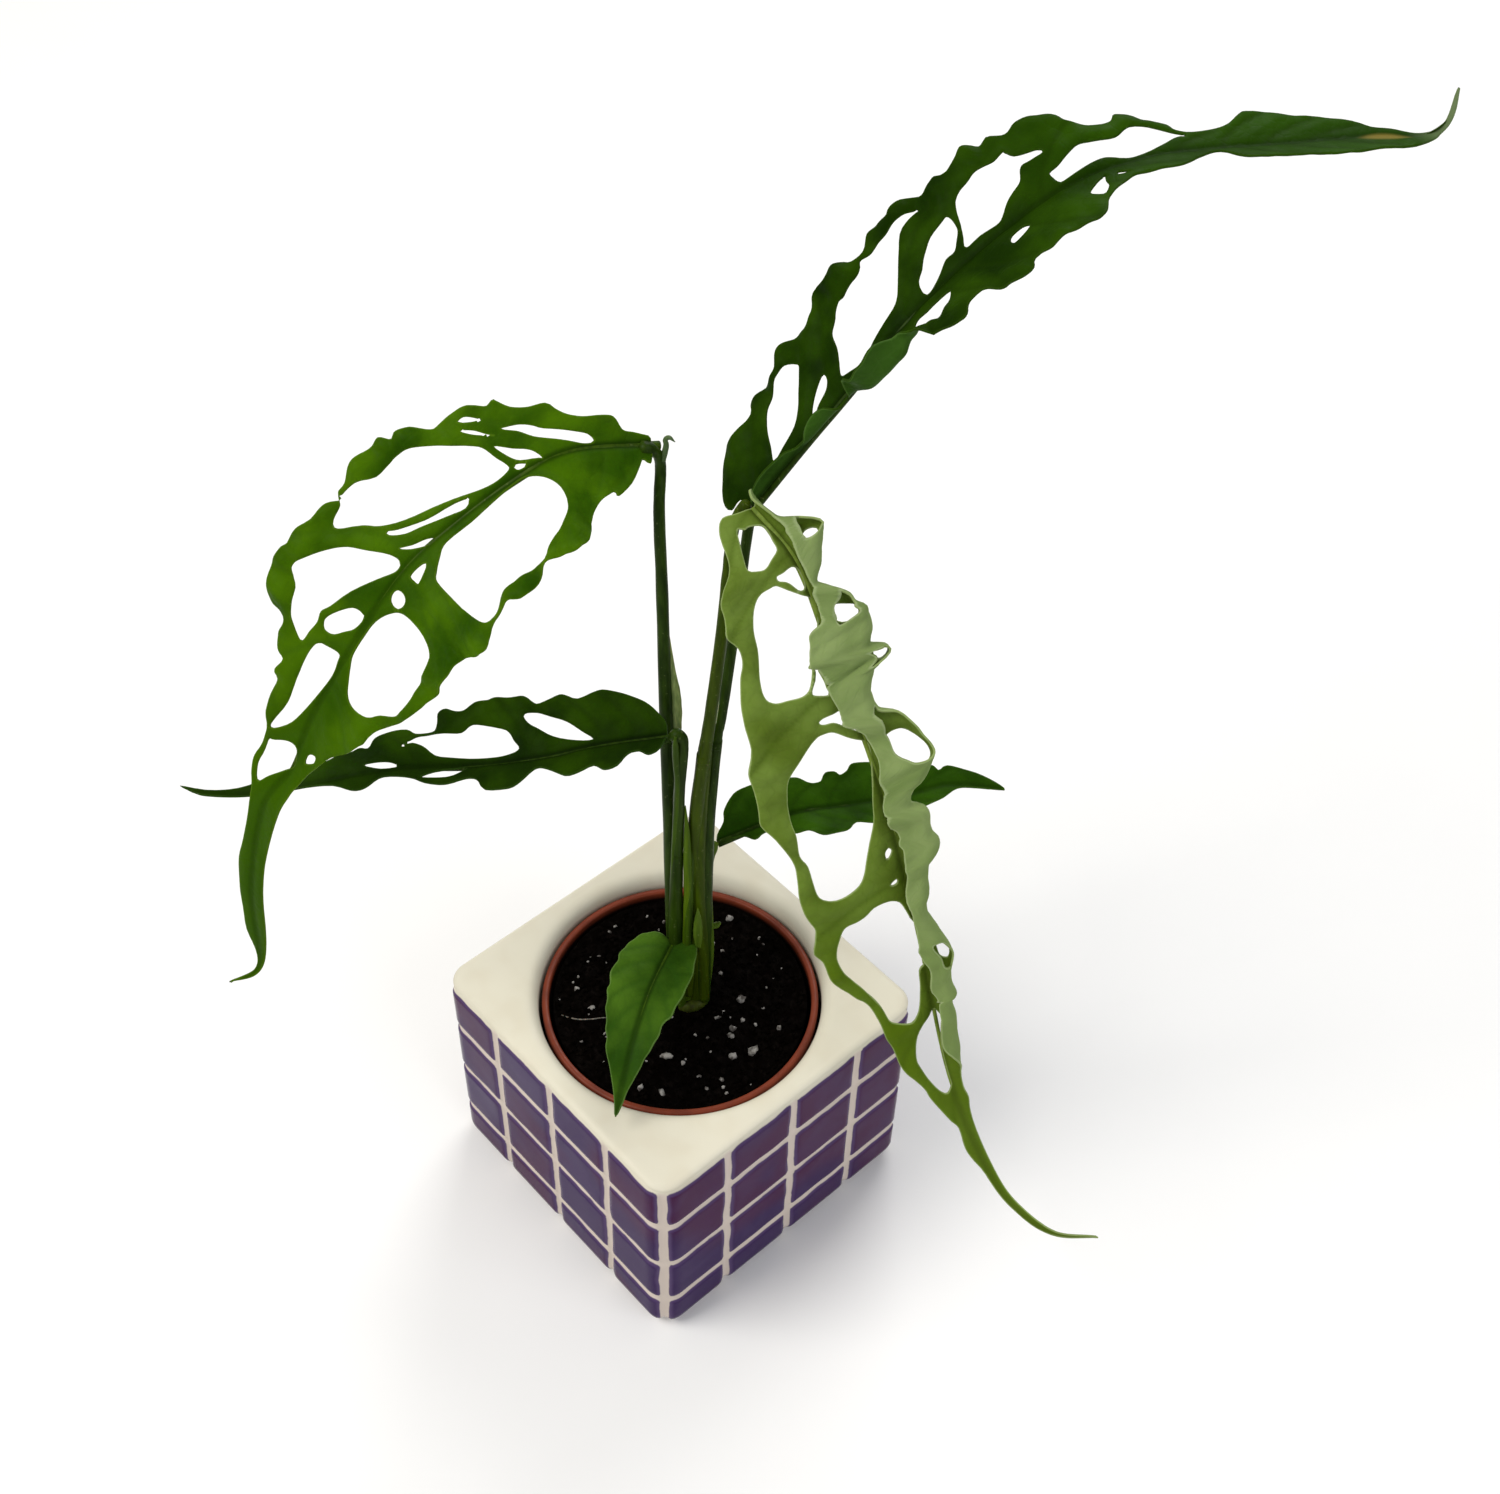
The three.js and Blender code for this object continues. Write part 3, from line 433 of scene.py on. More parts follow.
            (67.5, -6), (65.5, -5.5), (64, -7.5), (60.5, -8.5), (57.5, -8.5), (56, -7.5), (54, -7.5),
            (52, -8), (51.5, -10), (51.5, -12), (50, -13), (48, -12.5), (45.5, -12.5), (42.5, -14),
            (39.5, -14), (37.5, -14.5), (34, -14), (31, -14), (28.5, -12), (25.5, -12.5), (22.5, -13),
            (21, -12.5), (18.5, -11), (14.5, -12), (12, -11.5), (8.5, -10), (5, -8), (2.5, -5.5),
            (0.5, -2),
        ],
        "windows": [
            [(31.5, -10), (28.5, -10), (25, -8.5), (21.5, -6.5), (18.5, -3.5), (16.5, -1.5), (20, -2),
             (25, -4), (28.5, -6.5), (30.5, -8)],
            [(58.5, -5), (56, -6.5), (53.5, -7), (50, -7.5), (46, -7.5), (43.5, -9), (40, -8.5),
             (35.5, -7), (34, -4.5), (33, -2.5), (36.5, -1.5), (42, -1.5), (48, -2), (51.5, -2.5),
             (54, -4.5), (56.5, -5.5)],
            [(67, -2), (63.5, -2), (61, -1.5), (59.5, -0.5), (63, -0.5)],
            [(54, 3), (51.5, 1.5), (47, 0.5), (44.5, 0.5), (45.5, 1.5), (48.5, 3)],
        ],
        "veins": [
            (1, 7, -9), (7, 15, -12), (14, 22, -12.5), (30, 37, -14), (55, 62, -8), (64, 73, -5),
            (5, 12, 7), (13, 21, 6.5), (24, 35, 7), (42, 50, 5), (56, 66, 3.5),
        ],
    },
    "leaf_hanging": {
        "facing": (0.45, -0.5, 0.74),
        "midrib": [
            (-6, 24.5, 195), (7, 24.5, 190), (17.5, 24.5, 174), (30.5, 24.5, 154), (41.5, 24.5, 132),
            (51, 24.5, 107), (63.5, 24.5, 73), (79, 24.5, 52), (89, 24.5, 48), (98.5, 24.5, 52),
            (108.5, 24.5, 64),
        ],
        "left": {
            "fold": [(0, 8), (170, 5)],
            "turn": [(0, 140), (6, 172), (128, 172), (138, 90), (146, 20), (155, 5)],
            "start": [
                (0, 0.3), (4.5, 1.2), (6.5, 1.9), (9, 4.7), (11, 6.9), (12, 5.9), (15, 3.4),
                (18.5, 0.9), (20, 2.3), (22.5, 5.3), (24.5, 6), (26, 7.8), (28.5, 7.8), (34, 6.3),
                (35.5, 9), (37, 9.2), (38.5, 6.5), (39.5, 4.5), (44, 2.8), (47.5, 2.8), (49.5, 6.3),
                (53, 8.8), (57, 10.3), (59.5, 10.5), (62, 9), (64, 7), (65.5, 4.8), (69, 3.5),
                (70.5, 5.8), (72.5, 6.5), (76.5, 5.8), (78.5, 6.5), (81.5, 5), (83.5, 3.8), (89.5, 2.3),
                (93, 1), (98.5, 1.8), (103, 3.5), (106.5, 4.5), (109.5, 4), (115, 2.8), (118, 3.5),
                (119, 2.5), (124, 2.8), (132.5, 1.8), (137.5, 0.3), (145, 0),
            ],
            "length": [(0, 4.8), (19, 4.8), (25, 6.6), (132, 6.6), (138, 5), (146, 4)],
        },
        "right": {"fold": [(0, 8), (170, 5)]},
        "outline": [
            (0, 0.8), (-1.4, 1.2), (-2.4, 2.4), (-2.3, 4.1), (-0.6, 5.2), (2, 5), (4.5, 5.2),
            (6.5, 6.4), (8.5, 10.7), (9.5, 13.6), (11, 16.9), (12, 15.2), (13.5, 13), (15, 10.6),
            (18.5, 5.4), (20, 8.9), (22.5, 15.8), (24.5, 17.7), (26, 22.2), (27, 24.5), (28.5, 25),
            (33.5, 23.4), (35.5, 28), (37, 28), (38.5, 22.6), (39.5, 18.6), (43.5, 14.9), (47, 14.2),
            (49.5, 19.8), (51, 21.4), (53, 23.6), (57, 25.8), (59.5, 26.6), (62, 24.4), (64, 20.1),
            (65.5, 16), (69, 14.1), (70.5, 18.6), (72.5, 19.8), (75.5, 17.4), (78.5, 18.6),
            (81.5, 15.9), (83.5, 13.7), (85, 12.9), (89.5, 12), (93, 8.8), (96.5, 9.4), (98.5, 10.2),
            (100.5, 11.8), (103, 13.9), (104, 14.9), (106.5, 15.6), (109.5, 13.6), (115, 11.9),
            (118, 12.3), (119, 10.1), (124, 11.2), (129, 11), (132.5, 10.2), (137.5, 5.6), (142, 3.2),
            (147, 2.5), (150, 2.8), (154, 2), (163, 1.5), (184, 1.3), (193, 0.6), (207, 0.4), (208, 0),
            (191.5, -0.5), (181, -0.5), (170, -1), (165.5, -2), (162, -2.5), (157, -2), (154.5, -3),
            (151.5, -4), (147, -5.5), (144.5, -6), (141.5, -7.5), (139, -9), (136, -10), (131.5, -10.5),
            (128, -11.5), (124, -12), (120, -13), (117.5, -14), (114.5, -16), (110.5, -19),
            (107, -20.5), (103, -21), (100, -22.5), (96, -21.5), (93.5, -21), (90, -22), (87, -22.5),
            (83, -22.5), (80, -22), (76.5, -21.5), (73, -22), (68, -23.5), (64, -25.5), (60.5, -25),
            (56, -24.5), (52, -24.5), (50, -24), (46, -22), (41.5, -21.5), (38.5, -21), (35.5, -20),
            (32, -18.5), (29, -17), (26, -17), (23, -18.5), (19, -17.5), (14, -17), (11, -15.5),
            (8, -12.5), (5, -10.5), (0.5, -8.5), (-2, -6), (-1, -3),
        ],
        "windows": [
            [(1.5, -5), (2.5, -4), (2.5, -3), (4, -1), (6, -1), (8, -1.5), (10, -2), (11, -4), (12, -6),
             (11.5, -7.5), (10, -9), (7, -8), (4, -6.5)],
            [(14.8, -4.8), (14.8, -3.5), (14.5, -1.5), (15.5, -0.5), (18.3, -0.4), (19.8, -0.9),
             (19.4, -2), (17, -3.4), (15.9, -4.9)],
            [(16.6, -5.7), (18.5, -3.9), (20.5, -1.9), (22, -0.3), (24.5, 0), (28.5, -1), (30, -3),
             (35, -4.5), (39, -6.5), (40, -8.5), (39.5, -11.5), (39, -14), (37.5, -15.5), (35, -15.5),
             (31.5, -14.5), (28, -13.5), (23.5, -13), (19.5, -11.5), (17, -9.5), (16.5, -7)],
            [(36, -4), (38.5, -3.5), (40.5, -3.5), (42, -3.5), (41, -6), (40, -6.5), (38, -5)],
            [(46.6, -7.5), (46, -6.5), (46, -4), (46, -2.5), (49, -2), (51, -1), (52, -0.2),
             (49.4, -2.9), (47.8, -4.6), (47.4, -6.6)],
            [(52, -13), (49.5, -9.3), (49.2, -7.2), (49.7, -5.3), (52.1, -2.8), (54.1, -0.2),
             (55.3, 0.4), (58, 0), (62, -1), (67.5, -2.5), (72, -3.5), (76.5, -5.5), (80, -7),
             (84, -8.5), (86, -10), (87.5, -13), (87.5, -16), (85.5, -18.5), (81.5, -19), (77, -19),
             (74, -20), (68.5, -19.5), (65, -19.5), (59.5, -18.5), (55.5, -17)],
            [(79, -2), (80, -1.5), (81.5, -2.5), (81.5, -3), (80, -3)],
            [(88, -3.5), (87, -2), (88, -2), (88.5, -3)],
            [(92, -5), (92.5, -3), (94, -2), (98, -1), (101, 0), (110, 0), (112, -1.5), (116.5, -2),
             (122, -3), (124.5, -4), (126, -5.5), (125, -8.5), (123.5, -10), (119.5, -11), (116, -12.5),
             (112, -14.5), (109.5, -16), (106, -17.5), (102.5, -18), (99, -17), (97, -16),
             (95.5, -14.5), (95, -12), (94, -10), (92.5, -8)],
            [(123.5, 0), (126.5, 1.5), (130.5, 0.5), (135, 0), (143, 0), (145.5, 0), (147.5, -1.5),
             (146, -3), (142.5, -4.5), (139, -5.5), (136, -6), (131, -5), (128, -3.5), (125.5, -1.5)],
            [(8, 6), (8.4, 7.6), (9.6, 11), (10.9, 14.3), (11.5, 13.6), (11.9, 12), (11.9, 10),
             (11.2, 9.4), (9, 7.5), (8, 6)],
            [(10.8, 3.6), (10.4, 4.7), (10.8, 6.2), (11.6, 6.9), (12.4, 6), (12.4, 4.2), (11.8, 3.4)],
            [(21.4, 6.9), (21.9, 9), (23.2, 13.2), (24.6, 15), (26, 18.6), (27.2, 18.8), (26.7, 16.4),
             (25.6, 13), (24.6, 10.9), (24.2, 9.8), (22.5, 8.8), (21.5, 7.2)],
            [(25, 2.5), (24.5, 4), (25, 6), (25.6, 7.6), (27.3, 7.8), (28.6, 6.5), (28.6, 4), (27, 2.5)],
            [(35.4, 13.6), (36.6, 13.2), (37.8, 12.8), (38.3, 13.4), (37.8, 15), (36.6, 17.2),
             (35.4, 17)],
            [(35.4, 8), (36.6, 7.8), (37.8, 7.8), (38.2, 9), (37.6, 10.8), (36.6, 11.3), (35.4, 11)],
            [(46.3, 6.8), (47, 7.6), (48, 9.4), (49.5, 14.3), (52, 18.5), (53, 19.7), (56, 21.7),
             (57.5, 21.8), (58.6, 20.5), (59.5, 19), (59.7, 16.6), (59.3, 14.5), (58.5, 13.4),
             (57, 13.1), (55, 12.6), (53, 12.2), (51, 11), (49.5, 9.6), (48, 7.7), (47, 6.7)],
            [(54, 4.5), (53.5, 7.5), (55, 9.5), (57, 11.2), (59, 11.9), (61, 11.6), (62, 9.5),
             (61.5, 6), (60, 4), (56.5, 3.5)],
            [(102.8, 8.6), (105, 8.6), (108, 8.6), (109.5, 9.2), (109, 10.6), (107, 11.6),
             (104.5, 11.6), (102.8, 10.6)],
            [(103, 3.4), (106, 3.2), (109, 3.6), (109.6, 5), (108, 6), (105, 6), (103, 5.2)],
        ],
        "veins": [
            (0, 6, -11), (12, 24, -18), (41, 51, -24), (88, 96, -21), (110, 118, -13), (126, 137, -9.5),
            (148, 157, -2.5), (8, 14, 12), (14, 20, 9), (22, 28, 25), (29, 36, 25), (38, 44, 15),
            (46, 58, 26), (60, 72, 19), (74, 84, 13), (88, 100, 11), (98, 107, 15), (112, 122, 11),
            (126, 138, 5),
        ],
    },
    "leaf_back": {
        "facing": (0.1, -0.1, 0.99),
        "midrib": [
            (-5.5, 16, 100), (-1, 25, 103), (3, 33, 105), (8.5, 44, 104), (14, 54.5, 103.5),
            (19.5, 65.5, 104), (26, 77.5, 99),
        ],
        "left": {"fold": [(0, 10), (71, 10)]},
        "right": {"fold": [(0, 10), (71, 10)]},
        "outline": [
            (0.5, 1.5), (3, 4), (4, 6.5), (7.5, 9.5), (11, 10), (13.5, 9.5), (16.5, 9), (20.5, 8.5),
            (22, 8), (24, 6.5), (26.5, 6.5), (28, 8.5), (30.5, 8.5), (31.5, 7.5), (33.5, 8.5), (35, 10),
            (39.5, 9.5), (43.5, 8), (50, 6), (53.5, 5.5), (54.5, 4), (56.5, 5), (60.5, 4), (65, 3),
            (69, 1.5), (71, 0), (66, -0.3), (62.5, -0.5), (58, -1), (53.5, -3.5), (49, -4.5),
            (46, -5.5), (40.5, -6.5), (36, -6.5), (32, -5.5), (29.5, -7.5), (26, -8), (23, -8),
            (20.5, -6), (17.5, -6), (15, -4.5), (11, -2.5), (8.5, -3.5), (6.5, -1.5), (4.5, -0.5),
            (0.5, 0),
        ],
        "windows": [],
        "veins": [
            (2, 10, 10), (9, 19, 8.5), (18, 29, 8.5), (27, 37, 10), (38, 48, 6.5), (49, 58, 4.5),
            (5, 13, -3.5), (13, 23, -8), (22, 33, -6), (31, 42, -6.5), (42, 52, -4),
        ],
    },
    "leaf_front": {
        "facing": (0.1, -0.1, 1),
        "midrib": [
            (-2.1, -0.3, 80), (4.6, -12.3, 81.5), (10.6, -21.7, 80.5), (15.2, -28.8, 76.5),
            (19.6, -35.8, 69.2),
        ],
        "left": {"fold": [(0, 14), (30, 10)]},
        "right": {"fold": [(0, 12), (30, 10)]},
        "outline": [
            (0, 0.6), (-1.6, 0.9), (-3.2, 1.5), (-3.9, 2.7), (-3.3, 4), (-1.7, 5.2), (0.6, 6.1),
            (3, 6.9), (6, 7.5), (9, 8.1), (12.5, 8.1), (15.5, 8.1), (18.5, 7.4), (21.3, 7.2),
            (22.6, 6.1), (24, 5.6), (26, 5.7), (28, 4.9), (30, 4.4), (31.5, 3.7), (33.5, 3.3),
            (35.5, 2.7), (37.5, 2.1), (39.5, 1.5), (42, 1.1), (45.2, 0.3), (45.2, -0.3), (43, -0.8),
            (39.5, -1.8), (36.5, -3), (34.5, -3.9), (33, -4.7), (31, -5.5), (29, -5.8), (27.5, -6.6),
            (26, -6.8), (24.5, -7.3), (23, -8), (21, -8.2), (19, -9), (17.5, -8.8), (15, -9.7),
            (13, -9.5), (11.5, -9.2), (10, -9.7), (7.5, -9.2), (5.5, -9), (4, -8.2), (2, -7.4),
            (0.9, -6.2), (-0.4, -4.9), (-0.8, -3.4), (-0.5, -2), (0, -0.6),
        ],
        "windows": [],
        "veins": [
            (2, 8, -8.8), (7, 15, -9), (13, 21, -7.8), (19, 28, -6), (26, 35, -3.4), (2, 9, 7.6),
            (7, 16, 7.6), (13, 22, 6.6), (20, 29, 4.4), (27, 36, 2.5),
        ],
    },
}


# Sizes and colours a user would change


def length_property(name, description, size):
    """A length that a user can change, given in millimetres."""
    return bpy.props.FloatProperty(
        name=name, description=description, default=size * MM, unit="LENGTH"
    )


def in_mm(group, *names):
    """These lengths of a settings group, in millimetres."""
    return [getattr(group, name) / MM for name in names]


class PlanterSizes(bpy.types.PropertyGroup):
    """Sizes of the cube planter"""

    side: length_property("Side", "Width of the cube over its tiles", 80)
    height: length_property("Height", "Height of the cube", 64)
    corner_radius: length_property("Corner radius", "Radius of the upright corners", 6)
    foot_radius: length_property("Foot radius", "Rounding under the lowest tiles", 5)
    top_radius: length_property("Top radius", "Rounding of the glazed top edge", 2)
    well_radius: length_property("Well radius", "Radius of the round well", 33.4)
    well_floor: length_property("Well floor", "Height of the floor of the well", 6)
    relief: length_property("Tile relief", "How far the tiles stand proud", 0.8)


class PottingSizes(bpy.types.PropertyGroup):
    """Sizes of the nursery pot and its soil"""

    rim_radius: length_property("Rim radius", "Outer radius of the pot's lip", 32.6)
    foot_radius: length_property("Foot radius", "Outer radius at the pot's base", 27)
    top: length_property("Rim height", "Height of the pot's lip", 61)
    wall: length_property("Wall", "Thickness of the pot's wall", 1)
    soil_top: length_property("Soil height", "Height of the soil at the rim", 58)
    crumbs: bpy.props.IntProperty(
        name="Crumbs", description="How many loose crumbs lie on the soil", default=1500
    )
    perlite: bpy.props.IntProperty(
        name="Perlite", description="How many small perlite grains show on the soil", default=60
    )


class FoliageSizes(bpy.types.PropertyGroup):
    """Sizes of the leaves"""

    blade: length_property("Blade", "Thickness of a leaf", 0.42)
    pitch: length_property("Mesh pitch", "Spacing of a leaf's mesh", 0.55)
    quilting: length_property("Quilting", "How far a leaf swells between its veins", 0.45)


def linear(value):
    """An sRGB hex value as linear red, green, blue and alpha."""
    channels = [int(value[i : i + 2], 16) / 255 for i in (1, 3, 5)]
    return (
        *[c / 12.92 if c <= 0.04045 else ((c + 0.055) / 1.055) ** 2.4 for c in channels],
        1.0,
    )


def colour_property(name, description, value):
    """A colour that a user can change, given as an sRGB hex value."""
    return bpy.props.FloatVectorProperty(
        name=name, description=description, default=linear(value)[:3], subtype="COLOR",
        min=0, max=1, size=3,
    )


class FinishColours(bpy.types.PropertyGroup):
    """Main colours of the planter, the pot and the soil"""

    cream: colour_property("Cream glaze", "Glaze of the planter's top and grout", "#DED8C4")
    purple: colour_property("Purple glaze", "Glaze of the planter's tiles", "#40143E")
    terracotta: colour_property("Pot plastic", "Plastic of the nursery pot", "#7C3620")
    peat: colour_property("Peat", "Damp potting mix", "#050302")


# Mesh helpers


def zero_to_one(value):
    """The value, held between 0 and 1."""
    return min(max(value, 0), 1)


def fade_in(distance, fade):
    """Share from 0 to 1, where fade is (where it starts, over what distance it grows)."""
    start, growth = fade
    return zero_to_one((distance - start) / growth)


def unit_circle(count):
    """Points round a circle of radius one."""
    turns = [FULL_TURN * i / count for i in range(count)]
    return [Vector((math.cos(turn), math.sin(turn), 0)) for turn in turns]


def circle_at(circle, radius, z):
    """A unit circle's points brought to this radius and height."""
    return [point * radius + Vector((0, 0, z)) for point in circle]


def quarter_turn(steps):
    """Angles of an arc's stations, from just past its start to a quarter turn."""
    return [math.pi / 2 * k / steps for k in range(1, steps + 1)]


def place_ring(ring, points):
    """Moves a ring's vertices to these points."""
    for vert, point in zip(ring, points):
        vert.co = point


def first_ring(bm, points):
    """A new closed ring of vertices at these points."""
    ring = bmesh.ops.create_circle(bm, segments=len(points), radius=1)["verts"]
    place_ring(ring, points)
    return ring


def extrude_ring(bm, ring):
    """Extrudes a closed ring of vertices and returns the new ring in the same order."""
    edges = [bm.edges.get((ring[i - 1], ring[i])) for i in range(len(ring))]
    made = bmesh.ops.extrude_edge_only(bm, edges=edges)["geom"]
    known = set(ring)
    above = {}
    for vert in made:
        if isinstance(vert, bmesh.types.BMVert):
            for edge in vert.link_edges:
                if edge.other_vert(vert) in known:
                    above[edge.other_vert(vert)] = vert
    return [above[vert] for vert in ring]


def grow_ring(bm, ring, points):
    """Extrudes a closed ring to these points and returns the new ring."""
    ring = extrude_ring(bm, ring)
    place_ring(ring, points)
    return ring


def close_ring(bm, ring, point):
    """Closes the hole inside a ring with faces that meet at one point."""
    last = extrude_ring(bm, ring)
    bmesh.ops.pointmerge(bm, verts=last, merge_co=point)


def smooth(table, x):
    """Reads a table of (x, y) pairs on a smooth curve. x may be an array."""
    xs = np.array([row[0] for row in table], float)
    ys = np.array([row[1] for row in table], float)
    x = np.clip(np.asarray(x, float), xs[0], xs[-1])
    last = len(xs) - 1
    if last == 0:
        return np.full_like(x, ys[0])
    low = np.maximum(np.arange(last + 1) - 1, 0)
    high = np.minimum(np.arange(last + 1) + 1, last)
    slope = (ys[high] - ys[low]) / (xs[high] - xs[low])
    i = np.clip(np.searchsorted(xs, x, side="right") - 1, 0, last - 1)
    width = xs[i + 1] - xs[i]
    s = (x - xs[i]) / width
    rise = s * s * (3 - 2 * s)
    bend = slope[i] * s * (1 - s) ** 2 - slope[i + 1] * s * s * (1 - s)
    return ys[i] * (1 - rise) + ys[i + 1] * rise + width * bend


def flowing_line(points, steps, closed=False):
    """A smooth curve through the points, with this many steps from each to the next."""
    points = np.array(points, float)
    if closed:
        before, after, beyond = (np.roll(points, k, axis=0) for k in (1, -1, -2))
        starts = points
    else:
        padded = np.vstack([2 * points[0] - points[1], points, 2 * points[-1] - points[-2]])
        before, starts, after, beyond = padded[:-3], padded[1:-2], padded[2:-1], padded[3:]
    rows = []
    for t in np.arange(steps) / steps:
        rows.append(
            0.5
            * (
                2 * starts
                + (after - before) * t
                + (2 * before - 5 * starts + 4 * after - beyond) * t * t
                + (3 * starts - before - 3 * after + beyond) * t**3
            )
        )
    line = np.stack(rows, axis=1).reshape(-1, points.shape[1])
    return line if closed else np.vstack([line, points[-1]])


def tangents(line):
    """Unit directions along a line of points."""
    along = np.gradient(line, axis=0)
    return along / np.linalg.norm(along, axis=1)[:, None]


SWEEP_STEPS = 9  # rings from each point of a strand's line to the next
FURROW_AT = 0.6  # angle round a stalk at which its furrow lies
WANDER_PACE = 0.35  # how fast a strand's section changes from ring to ring
TIP_SHARE = 0.4  # how far a strand's closed end stands out, over its radius


def sweep(bm, strand, sides=18, flat=1.0, furrow=0.0, wander=0.0, finish=0):
    """Sweeps a closed, slightly irregular section along a strand's line.

    "flat" is its thickness over its width, "furrow" the depth of the groove down one side and
    "wander" how uneven it is, each as a share, and "finish" is the place of its material.
    """
    line = flowing_line(strand.path, SWEEP_STEPS)
    along = tangents(line)
    side = Vector(along[0]).orthogonal().normalized()
    first_face = len(bm.faces)
    start = ring = None
    for k, centre in enumerate(line):
        direction = Vector(along[k])
        side = (side - direction * side.dot(direction)).normalized()
        other = direction.cross(side)
        size = float(smooth(strand.radius, k / (len(line) - 1)))
        points = []
        for i in range(sides):
            turn = FULL_TURN * i / sides
            dent = 1 - furrow * max(math.cos(turn - FURROW_AT), 0) ** 8
            seed = Vector((math.cos(turn), math.sin(turn), k * WANDER_PACE))
            reach = size * dent * (1 + wander * noise.noise(seed))
            points.append(
                Vector(centre)
                + side * reach * math.cos(turn)
                + other * reach * flat * math.sin(turn)
            )
        if ring is None:
            start = ring = first_ring(bm, points)
        else:
            ring = grow_ring(bm, ring, points)
    close_ring(bm, ring, Vector(line[-1]) + Vector(along[-1]) * size * TIP_SHARE)
    close_ring(bm, start, Vector(line[0]))
    bm.faces.ensure_lookup_table()
    for face in bm.faces[first_face:]:
        face.material_index = finish


def finish_piece(bm, name, surfaces, nodes):
    """Makes a finished millimetre mesh an object of the model, in metres, riding on its body."""
    bmesh.ops.scale(bm, vec=(MM, MM, MM), verts=bm.verts)
    mesh = bpy.data.meshes.new(name)
    bm.to_mesh(mesh)
    bm.free()
    for surface in surfaces:
        mesh.materials.append(surface)
    mesh.shade_smooth()
    piece = bpy.data.objects.new(name, mesh)
    bpy.context.collection.objects.link(piece)
    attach(piece, BODY)
    if nodes:
        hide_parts(*nodes)
    return piece


def sweep_piece(name, strands, nodes, slot_name, **section):
    """A piece of one or more strands swept along their lines."""
    finishes = sorted({strand.finish for strand in strands})
    bm = bmesh.new()
    for strand in strands:
        sweep(bm, strand, finish=finishes.index(strand.finish), **section)
    bmesh.ops.recalc_face_normals(bm, faces=bm.faces)
    finish_piece(bm, name, [stalk_material(finish) for finish in finishes], nodes)


# Materials


def set_inputs(tree, node, inputs):
    """Gives each input of a node a value or another node's output."""
    for name, value in inputs.items():
        if isinstance(value, bpy.types.NodeSocket):
            tree.links.new(value, node.inputs[name])
        else:
            node.inputs[name].default_value = value


def add_node(tree, kind, inputs=None, **settings):
    """Adds a node, with its settings and its inputs."""
    node = tree.nodes.new(kind)
    for name, value in settings.items():
        setattr(node, name, value)
    set_inputs(tree, node, inputs or {})
    return node


def start_material(name):
    """A new material with a principled shader, and its node tree."""
    made = bpy.data.materials.new(name)
    made.use_nodes = True
    return made, made.node_tree


def set_shader(tree, **inputs):
    """Sets sockets of the shader. An underscore in a name stands for a space."""
    shader = tree.nodes["Principled BSDF"]
    set_inputs(tree, shader, {name.replace("_", " "): value for name, value in inputs.items()})


def mix_colours(tree, factor, first, second):
    """Output of a node that mixes two colours. The second one may be an sRGB hex value."""
    if isinstance(second, str):
        second = linear(second)
    node = add_node(tree, "ShaderNodeMix", {0: factor, 6: first, 7: second}, data_type="RGBA")
    return node.outputs[2]


def noise_at(tree, place, scale, detail=3.0, distortion=0.0):
    """Noise read at a place, with this many features to its unit."""
    node = add_node(
        tree,
        "ShaderNodeTexNoise",
        {"Vector": place, "Scale": scale, "Detail": detail, "Distortion": distortion},
    )
    return node.outputs["Fac"]


def per_mm(size):
    """Noise scale on metre coordinates that gives features of this size in millimetres."""
    return 1 / (size * MM)


def speckle(tree, size, detail=3.0, distortion=0.0):
    """Noise on the object's own coordinates, with features of this size in millimetres."""
    place = add_node(tree, "ShaderNodeTexCoord").outputs["Object"]
    return noise_at(tree, place, per_mm(size), detail, distortion)


def streaks(tree, size, height_share, detail):
    """Upright streaks of this width in millimetres. Their width is height_share of their height."""
    place = add_node(tree, "ShaderNodeTexCoord").outputs["Object"]
    drawn_out = add_node(
        tree, "ShaderNodeMapping", {"Vector": place, "Scale": (1, 1, height_share)}
    )
    return noise_at(tree, drawn_out.outputs["Vector"], per_mm(size), detail)


def ramp(tree, value, low, high, to_low=0.0, to_high=1.0):
    """Output that goes smoothly from to_low to to_high as the value goes from low to high."""
    node = add_node(
        tree,
        "ShaderNodeMapRange",
        {"Value": value, "From Min": low, "From Max": high, "To Min": to_low, "To Max": to_high},
        interpolation_type="SMOOTHSTEP",
    )
    return node.outputs["Result"]


def maths(tree, operation, first, second=0.0):
    """Output of one arithmetic step."""
    return add_node(tree, "ShaderNodeMath", {0: first, 1: second}, operation=operation).outputs[0]


def scaled(tree, value, factor):
    """Output of a value times a factor."""
    return maths(tree, "MULTIPLY", value, factor)


def attribute(tree, name):
    """Number stored on the mesh under this name."""
    return add_node(tree, "ShaderNodeAttribute", attribute_name=name).outputs["Fac"]


def bump(tree, height, distance, strength):
    """Joins a height map to the shader's normal. Its full height is a distance in millimetres."""
    node = add_node(
        tree, "ShaderNodeBump", {"Height": height, "Distance": distance * MM, "Strength": strength}
    )
    set_shader(tree, Normal=node.outputs["Normal"])


